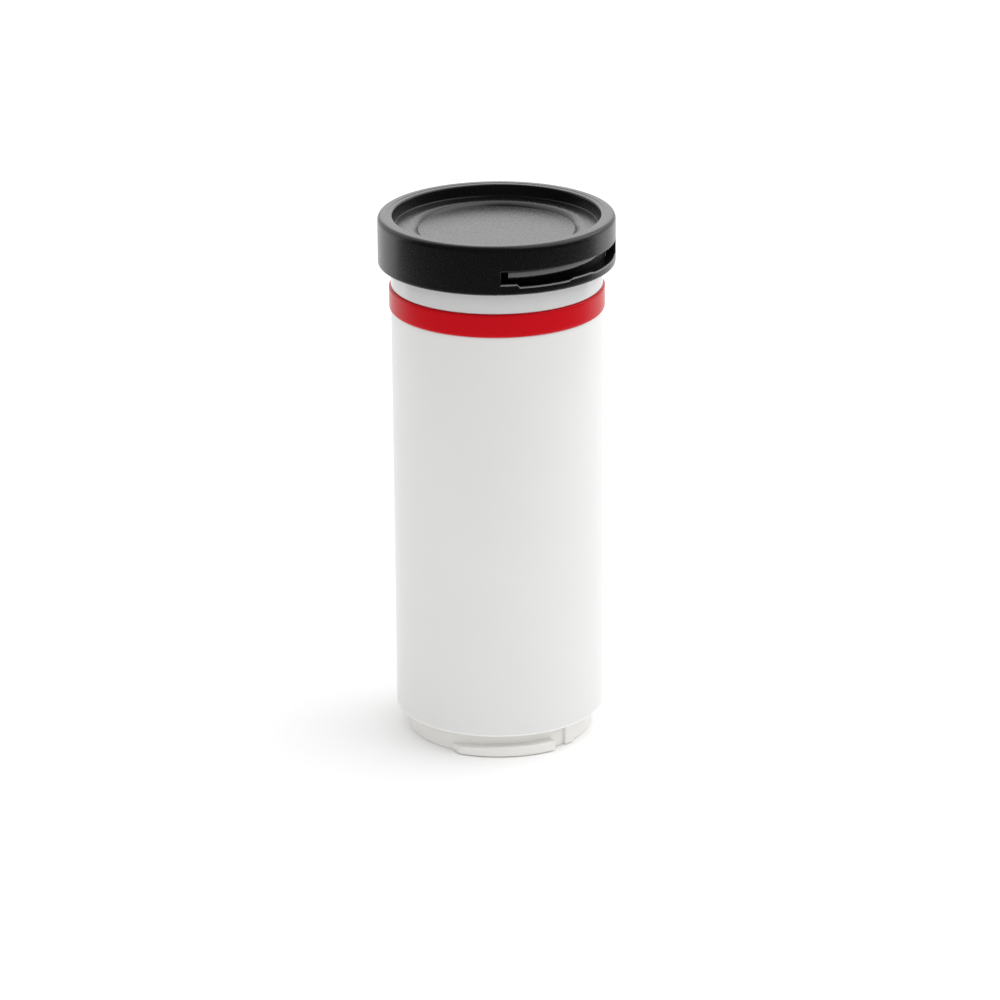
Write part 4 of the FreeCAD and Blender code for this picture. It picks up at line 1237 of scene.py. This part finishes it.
    def screws(self, repeater: Repeater) -> Object:
        """Make both screws: domed heads with a cross recess, and plain shanks."""
        seat = self.floor_low + self.head_h
        tip = seat + self.shank
        form = turned_piece("screw_form", STEEL, [
            (self.shank_r, tip, 0.0), (self.shank_r, seat, 0.0), (self.head_r, seat, self.head_edge),
            (self.head_r, self.floor_low, self.head_dome), (0.0, self.floor_low, 0.0), (0.0, tip, 0.0)],
            SCREW_SEGMENTS)
        form = cut(form, [self.cross(turn) for turn in (0.0, 90.0)])
        return repeater.spread("rear_screw_set", form, self.screw_points(), self.screw_turn, STEEL)

    def dress(self, repeater: Repeater) -> None:
        """Build the cap and what is on it, and seat them."""
        seated(self.shell(), Body.READER, "cap_grey", "rear_cap")
        seated(self.lugs(repeater), Body.READER, "cap_grey")
        seated(self.ribs(repeater), Body.READER, "cap_grey")
        seated(self.screws(repeater), Body.READER, "screw_steel", "rear_screws")
        seat_copy("usb_socket", "socket_skin", SOCKET_NICKEL, Body.READER, "socket_steel")


@dataclass
class Lid:
    """Black lid: grained shell with two grip windows, and the dull bayonet ring inside it."""

    radius: float = 19.0
    skirt_in: float = 17.4
    low: float = 79.3
    high: float = 87.15
    ceiling: float = 83.3
    window_head: float = 83.07
    lip: float = 80.58
    skirt_edge: float = 0.25
    rim_edge: float = 0.8
    rim_in_edge: float = 0.3
    rim_fall: float = 0.03
    rim_r: float = 16.65
    foot_r: float = 16.35
    foot: float = 85.2
    foot_edge: float = 0.2
    step_r: float = 14.0
    step_fill: float = 0.98
    disc_r: float = 12.5
    disc: float = 84.62
    disc_guard: float = 0.12
    seam_r: float = 17.5
    seam_guard: float = 0.15
    seam_width: float = 0.08
    seam_in: float = 0.2
    seam_drop: float = 0.05
    gate_r: float = 2.0
    gate_depth: float = 0.02
    gate_steps: int = 8
    track_r: float = 17.3
    track_in: float = 16.75
    track_edge: float = 0.12
    lip_in: float = 15.35
    lip_edge: float = 0.15
    lip_ease: float = 0.1
    lip_lift: float = 0.02
    columns: float = 1.5
    edge: float = 0.22
    crease: float = 42.0
    highlight_up: float = 0.25
    brow_sink: float = 0.015
    brow_root: float = 1.2
    brows_at: tuple[Point, ...] = ((5.4, 1.8), (22.0, 1.7), (40.0, 1.5), (52.0, 1.1), (60.0, 0.05))
    sill: tuple[Point, ...] = ((2.0, 0.47), (9.5, 0.47), (11.0, 0.0), (37.0, 0.0),
                               (40.0, 0.25), (52.0, 0.25), (55.0, 0.0), (88.0, 0.0))

    def column_angles(self) -> list[float]:
        """Angles of the shell's columns: an even spread, and every point of the sill."""
        marks = [angle + turn for turn in (0.0, 180.0) for angle, _ in self.sill]
        even = [self.columns * step for step in range(int(360 / self.columns))]
        kept = [angle for angle in even if min(abs(angle - mark) for mark in marks) > self.columns / 3]
        return sorted(kept + marks)

    def section(self) -> list[Point]:
        """Closed half section of the shell, with the sill and head of the window marked."""
        drop = self.foot - self.disc
        width = self.step_r - self.disc_r
        brow = (width ** 2 + drop ** 2) / (2 * drop)
        tangent = brow * math.tan(math.asin(width / brow) / 2)
        rim = self.high - self.seam_drop
        corners = [
            (self.radius, self.low, self.skirt_edge), (self.radius, self.lip, 0.0),
            (self.radius, self.window_head, 0.0), (self.radius, self.high, self.rim_edge),
            (self.seam_r + self.seam_guard, self.high, 0.0), (self.seam_r, self.high, 0.0),
            (self.seam_r - self.seam_width, rim, 0.0), (self.seam_r - self.seam_in, rim, 0.0),
            (self.rim_r, rim - self.rim_fall, self.rim_in_edge), (self.foot_r, self.foot, self.foot_edge),
            (self.step_r - tangent, self.foot, brow * self.step_fill), (self.disc_r, self.disc, 0.0),
            (self.disc_r - self.disc_guard, self.disc, 0.0)]
        for share in spaced(0.0, 1.0, self.gate_steps):
            dip = self.gate_depth * (1 - math.cos(math.pi * share)) / 2
            corners.append((self.gate_r * (1 - share), self.disc - dip, 0.0))
        corners += [(0.0, self.ceiling, 0.0), (self.skirt_in, self.ceiling, 0.0),
                    (self.skirt_in, self.window_head, 0.0), (self.skirt_in, self.lip, 0.0),
                    (self.skirt_in, self.low, 0.0)]
        return rounded(corners)

    def shell(self) -> Object:
        """Make the shell column by column, leaving the windows open."""
        draft = Draft()
        section = self.section()
        out_sill = section.index((self.radius, self.lip))
        out_head = section.index((self.radius, self.window_head))
        in_head = section.index((self.skirt_in, self.window_head))
        in_sill = section.index((self.skirt_in, self.lip))
        poles = {index: draft.loop([Vector((0.0, 0.0, point[1]))])[0]
                 for index, point in enumerate(section) if point[0] < ON_AXIS}
        angles = self.column_angles()
        columns = []
        for angle in angles:
            column = []
            for index, (radius, height) in enumerate(section):
                if index in (out_sill, in_sill):
                    height = self.lip + looked_up(self.sill, angle % 180.0)
                column.append(poles.get(index) or draft.loop([polar(radius, angle, height)])[0])
            columns.append(column)
        start, end = self.sill[0][0], self.sill[-1][0]
        for index, column in enumerate(columns):
            following = columns[(index + 1) % len(columns)]
            opened = start <= angles[index] % 180.0 < end
            for here in range(len(section)):
                ahead = (here + 1) % len(section)
                if here in poles and ahead in poles or opened and here in (out_sill, in_head):
                    continue
                draft.face([column[here], following[here], following[ahead], column[ahead]])
            if opened:
                for outside, inside in ((out_sill, in_sill), (out_head, in_head)):
                    draft.face([column[outside], following[outside], following[inside], column[inside]])
            if angles[index] % 180.0 in (start, end):
                draft.face([column[place] for place in (out_sill, out_head, in_head, in_sill)])
        # Eased faces that face upwards take the grey finish: a painted highlight.
        for face in draft.eased(self.radius, self.edge, self.crease):
            face.normal_update()
            face.material_index = 1 if face.normal.z > self.highlight_up else 0
        return draft.piece("lid_shell_skin", GRAINED_BLACK, self.crease, SILL_HIGHLIGHT_GREY)

    def track(self) -> Object:
        """Make the wall of the bayonet ring."""
        return turned_piece("lid_track_skin", DULL_BLACK, [
            (self.track_r, self.low, self.track_edge), (self.track_r, self.ceiling, 0.0),
            (self.track_in, self.ceiling, 0.0), (self.track_in, self.low, self.track_edge)])

    def brow_section(self, angle: float) -> Section:
        """Section of a brow: a quarter of an ellipse that hangs from the window's head.

        Args:
            angle: Degrees round the axis.

        Returns:
            The angle and the section's corners.
        """
        root = self.edge * self.brow_root
        top = self.window_head + root
        depth = looked_up(self.brows_at, angle) + root
        inside = self.track_r - self.brow_sink
        width = self.radius - self.track_r
        corners = [(inside, top, 0.0)]
        for sine, cosine in quarter(BROW_STEPS):
            corners.append((inside + width * cosine, top - depth * sine, 0.0))
        return angle, corners

    def brows(self, repeater: Repeater) -> Object:
        """Make the round brow under the head of both windows."""
        angles = spaced(self.brows_at[0][0], self.brows_at[-1][0], SWEEP_STEPS)
        return repeater.pair("lid_brows", [self.brow_section(angle) for angle in angles], POLISHED_BLACK)

    def lips(self, repeater: Repeater) -> Object:
        """Make both lips that catch under the lugs."""
        outside = (self.track_r + self.track_in) / 2
        low = self.low + self.lip_lift
        sections = []
        angles = spaced(self.sill[0][0], self.sill[-1][0], SWEEP_STEPS)
        for angle in angles:
            pull = self.lip_ease if angle in (angles[0], angles[-1]) else 0.0
            inside = self.lip_in + pull
            high = self.lip - pull
            sections.append((angle, [(inside, low, self.lip_edge), (outside, low, 0.0),
                                     (outside, high, 0.0), (inside, high, self.lip_edge)]))
        return repeater.pair("lid_lips", sections, DULL_BLACK)

    def dress(self, repeater: Repeater) -> None:
        """Build the lid and seat it."""
        seated(self.shell(), Body.LID, "lid_black", "lid_shell")
        seated(self.brows(repeater), Body.LID, "lid_black")
        seated(self.track(), Body.LID, "track_black", "lid_track")
        seated(self.lips(repeater), Body.LID, "track_black")
        seat_copy("tile_rivet", "rivet_skin", RIVET_BRASS, Body.LID, "rivet_brass")


@dataclass
class MeasuringEnd:
    """Nose with its port, and the white tile that closes it."""

    copies: tuple[tuple[str, Finish, Body, str], ...] = (
        ("measuring_nose", MATT_BLACK, Body.READER, "nose_black"),
        ("port_window", PORT_GLASS, Body.READER, "port_glass"),
        ("port_seal", SEAL_RUBBER, Body.READER, "seal_rubber"),
        ("tile_carrier", MATT_BLACK, Body.TILE_HOLDER, "carrier_black"),
        ("white_tile", TILE_GLAZE, Body.TILE_HOLDER, "tile_white"))

    def dress(self) -> None:
        """Copy the turned solids smooth and seat them."""
        for node, finish, body, slot in self.copies:
            seat_copy(node, node + "_skin", finish, body, slot)


@dataclass
class BackControls:
    """Measure button with its thumb dish, and the status light's pipe."""

    height: float = 46.0
    radius: float = 4.6
    top_r: float = 17.5
    dish: float = 0.35
    dish_r: float = 22.0
    dish_soft: float = 0.0016
    edge: float = 0.4
    edge_guard: float = 0.05
    low: float = 12.7
    flange_r: float = 5.6
    flange_high: float = 13.8
    facets: int = 96
    face_reach: float = 4.0
    face_rings: int = 8

    def surface(self, across: float, reach: float) -> float:
        """Depth of the button's face: it follows the tube, with the dish taken out."""
        crown = math.sqrt(self.top_r ** 2 - across ** 2)
        bowl = self.top_r - self.dish + self.dish_r - math.sqrt(self.dish_r ** 2 - reach ** 2)
        gap = crown - bowl
        return (crown + bowl - math.sqrt(gap * gap + self.dish_soft)) / 2

    def button(self) -> Object:
        """Make the button in rings from its centre to its flange."""
        draft = Draft()
        turns = [2 * math.pi * step / self.facets for step in range(self.facets)]
        rows = [draft.loop([Vector((0.0, self.surface(0.0, 0.0), self.height))]) * self.facets]
        rings = [(reach, 0.0) for reach in spaced(0.0, self.face_reach, self.face_rings)[1:]]
        rings.append((self.radius - self.edge - self.edge_guard, 0.0))
        for sine, cosine in quarter(END_STEPS):
            rings.append((self.radius - self.edge * (1 - sine), self.edge * (1 - cosine)))
        for reach, drop in rings:
            points = []
            for turn in turns:
                across = reach * math.cos(turn)
                depth = self.surface(across, reach) - drop
                points.append(Vector((across, depth, self.height + reach * math.sin(turn))))
            rows.append(draft.loop(points))
        for reach, depth in ((self.radius, self.flange_high), (self.flange_r, self.flange_high),
                             (self.flange_r, self.low)):
            points = [Vector((reach * math.cos(turn), depth, self.height + reach * math.sin(turn)))
                      for turn in turns]
            rows.append(draft.loop(points))
        draft.skin(rows)
        draft.face(rows[-1])
        return draft.piece("measure_button_skin", BUTTON_WHITE)

    def dress(self) -> None:
        """Build the button, copy the light pipe smooth and seat both."""
        seated(self.button(), Body.BUTTON, "button_white", "measure_button")
        seat_copy("status_pipe", "status_pipe_skin", PIPE_CLEAR, Body.READER, "pipe_clear")


@dataclass
class Insides:
    """Finishes of the solids inside the tube, which keep their own shape."""

    finishes: dict[str, Finish] = field(default_factory=lambda: {
        "optics_block": MATT_BLACK, "measuring_lamps": LAMP_CLEAR, "sensor_lens": PORT_GLASS,
        "lens_ring": MATT_BLACK, "sensor_board": BOARD_GREEN, "colour_sensor": CHIP_BLACK,
        "chassis": FRAME_GREY, "main_board": BOARD_GREEN, "board_chips": CHIP_BLACK,
        "radio_module": CAN_TIN, "ribbon_connectors": CONNECTOR_IVORY, "ribbon_cable": RIBBON_AMBER,
        "battery_cell": CELL_FOIL, "battery_pad": PAD_FOAM, "battery_connector": CONNECTOR_IVORY,
        "battery_leads": LEAD_RED, "tact_switch": CHIP_BLACK, "switch_plunger": PLUNGER_WHITE,
        "switch_guard": FRAME_GREY, "status_led": LAMP_CLEAR, "nose_screws": STEEL,
        "chassis_screws": STEEL, "board_screws": STEEL, "sensor_screws": STEEL})

    def dress(self) -> None:
        """Give each solid its finish."""
        for node, finish in self.finishes.items():
            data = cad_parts[node].data
            data.materials.clear()
            data.materials.append(material_of(finish))
            LOG.info("%s in %s", node, finish.name)


# Studio

@dataclass
class Lamp:
    """Soft area lamp.

    Attributes:
        name: Name of the lamp.
        place: Where it stands, in metres.
        aim: Point that it faces, in metres.
        size: Width and height, in metres.
        power: Power in watts.
    """

    name: str
    place: tuple[float, float, float]
    aim: tuple[float, float, float]
    size: tuple[float, float]
    power: float

    def light(self) -> None:
        """Put the lamp in the scene."""
        data = bpy.data.lights.new(self.name, "AREA")
        data.shape = "RECTANGLE"
        data.size, data.size_y = self.size
        data.energy = self.power
        made = linked(self.name, data)
        made.location = self.place
        made.rotation_euler = (Vector(self.aim) - Vector(self.place)).to_track_quat("-Z", "Y").to_euler()


class Rays:
    """Kinds of ray that a surface or the surroundings answer.

    Attributes:
        glossy: Whether the ray comes from a reflection.
        straight: Whether it comes from the camera, perhaps through something clear.
        seen: Whether it is either.
    """

    def __init__(self, tree: NodeTree) -> None:
        """Add the nodes.

        Args:
            tree: Node tree that gets them.
        """
        path = add(tree, "ShaderNodeLightPath").outputs
        self.glossy = path["Is Glossy Ray"]
        self.straight = compute(tree, "MAXIMUM", path["Is Camera Ray"], path["Is Transmission Ray"])
        self.seen = compute(tree, "MAXIMUM", self.straight, self.glossy)


@dataclass
class Studio:
    """Pale table, white surroundings, soft lamps and the camera of the photograph."""

    distance: float = 0.74471
    elevation: float = 20.0618
    target: tuple[float, float, float] = (0.000239, 0.0, 0.038529)
    roll: float = -0.412
    lens: float = 164.696
    sensor: float = 36.0
    clip_near: float = 0.05
    clip_far: float = 20.0
    table_size: float = 2.5
    table_colour: str = "#f8f8f8"
    pool_back: float = 0.1
    pool_r: float = 0.24
    pool_edge: float = 0.03
    front_glow: float = 0.04
    glow_from: float = -0.1
    glow_to: float = 0.5
    bright_side: tuple[float, float, float] = (0.18, 0.12, 0.98)
    ambient_low: float = 0.24
    ambient_high: float = 1.07
    lamps: tuple[Lamp, ...] = (
        Lamp("key", (0.55, 0.10, 0.80), (0.0, 0.0, 0.045), (1.1, 1.0), 3.5),
        Lamp("back", (0.0, 1.25, 0.55), (0.0, 0.0, 0.08), (1.0, 0.5), 1.5))

    def camera(self) -> None:
        """Set the camera as it stood for the photograph."""
        data = bpy.data.cameras.new("camera")
        data.sensor_width = self.sensor
        data.lens = self.lens
        data.clip_start = self.clip_near
        data.clip_end = self.clip_far
        made = linked("camera", data)
        tilt = math.radians(self.elevation)
        away = Vector((0.0, -math.cos(tilt), math.sin(tilt)))
        made.location = Vector(self.target) + away * self.distance
        facing = (-away).to_track_quat("-Z", "Y").to_matrix()
        rolled = facing @ Matrix.Rotation(math.radians(self.roll), 3, "Z")
        made.rotation_euler = rolled.to_euler()
        bpy.context.scene.camera = made

    def table_finish(self) -> Material:
        """Make the table's laminate.

        It is white to the camera and keeps the reader's shadow. Reflections see a painted pool of light
        round the reader, and painted shade, near black, in front of it.

        Returns:
            The material.
        """
        material = bpy.data.materials.new("white_laminate")
        material.use_nodes = True
        tree = material.node_tree
        tree.nodes.clear()
        rays = Rays(tree)
        colour = add(tree, "ShaderNodeMix", {0: rays.seen, 6: linear(self.table_colour), 7: WHITE},
                     data_type="RGBA")
        lit = add(tree, "ShaderNodeBsdfDiffuse", {"Color": colour.outputs[2]})
        # Reflections see the table near black outside a soft round behind the reader: a painted pool of
        # light, with painted shade in front.
        place = add(tree, "ShaderNodeTexCoord").outputs["Object"]
        spot = add(tree, "ShaderNodeSeparateXYZ", {"Vector": place}).outputs
        ahead = compute(tree, "MINIMUM", compute(tree, "SUBTRACT", spot["Y"], self.pool_back), 0.0)
        away = add(tree, "ShaderNodeCombineXYZ", {"X": spot["X"], "Y": ahead}).outputs[0]
        reach = add(tree, "ShaderNodeVectorMath", {0: away}, operation="LENGTH").outputs["Value"]
        outside = add(tree, "ShaderNodeMapRange",
                      {"Value": reach, "From Min": self.pool_r - self.pool_edge,
                       "From Max": self.pool_r + self.pool_edge, "To Max": 1.0 - self.front_glow},
                      interpolation_type="SMOOTHSTEP").outputs[0]
        dim = compute(tree, "MULTIPLY", outside, compute(tree, "LESS_THAN", ahead, 0.0))
        dim = compute(tree, "MULTIPLY", dim, rays.glossy)
        dark = add(tree, "ShaderNodeBsdfDiffuse", {"Color": BLACK})
        shown = add(tree, "ShaderNodeMixShader", {0: dim, 1: lit.outputs[0], 2: dark.outputs[0]})
        add(tree, "ShaderNodeOutputMaterial", {"Surface": shown.outputs[0]})
        return material

    def table(self) -> None:
        """Lay the pale table under the reader."""
        mesh = bmesh.new()
        corners = [(-1, -1), (1, -1), (1, 1), (-1, 1)]
        mesh.faces.new([mesh.verts.new((x * self.table_size, y * self.table_size, 0.0))
                        for x, y in corners])
        data = bpy.data.meshes.new("table")
        mesh.to_mesh(data)
        mesh.free()
        data.materials.append(self.table_finish())
        made = linked("table", data)

    def surroundings(self) -> None:
        """Light from all round, white to the camera, and dim in front for what reflections see."""
        world = bpy.data.worlds.new("studio")
        world.use_nodes = True
        bpy.context.scene.world = world
        tree = world.node_tree
        tree.nodes.clear()
        rays = Rays(tree)
        way = add(tree, "ShaderNodeTexCoord").outputs["Generated"]
        across = add(tree, "ShaderNodeSeparateXYZ", {"Vector": way}).outputs["Y"]
        behind = add(tree, "ShaderNodeMapRange",
                     {"Value": across, "From Min": self.glow_from, "From Max": self.glow_to,
                      "To Min": self.front_glow, "To Max": 1.0}, interpolation_type="SMOOTHSTEP")
        level = compute(tree, "MAXIMUM", rays.straight, behind.outputs[0])
        side = add(tree, "ShaderNodeVectorMath", {0: way, 1: self.bright_side}, operation="DOT_PRODUCT")
        around = add(tree, "ShaderNodeMapRange",
                     {"Value": side.outputs["Value"], "From Min": -1.0, "From Max": 1.0,
                      "To Min": self.ambient_low, "To Max": self.ambient_high})
        white = add(tree, "ShaderNodeBackground", {"Color": WHITE, "Strength": level})
        soft = add(tree, "ShaderNodeBackground", {"Color": WHITE, "Strength": around.outputs[0]})
        mixed = add(tree, "ShaderNodeMixShader", {0: rays.seen, 1: soft.outputs[0], 2: white.outputs[0]})
        add(tree, "ShaderNodeOutputWorld", {"Surface": mixed.outputs[0]})

    def set_up(self) -> None:
        """Set the camera, the table, the surroundings and the lamps."""
        bpy.context.scene.view_settings.view_transform = "Standard"
        self.camera()
        self.table()
        self.surroundings()
        for lamp in self.lamps:
            lamp.light()
        LOG.info("studio with %d lamps", len(self.lamps))


def plain(box: tuple[Vector, Vector]) -> list[list[float]]:
    """Corners of a box as plain lists of numbers."""
    return [list(corner) for corner in box]


def main() -> None:
    """Build the reader's looks in order."""
    logging.basicConfig(level=logging.INFO, format="%(name)s: %(message)s")
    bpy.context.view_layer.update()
    Studio().set_up()
    repeater = Repeater()
    Tube().dress()
    Bands().dress()
    RearCap().dress(repeater)
    Lid().dress(repeater)
    MeasuringEnd().dress()
    BackControls().dress()
    Insides().dress()


if __name__ == "__main__":
    main()
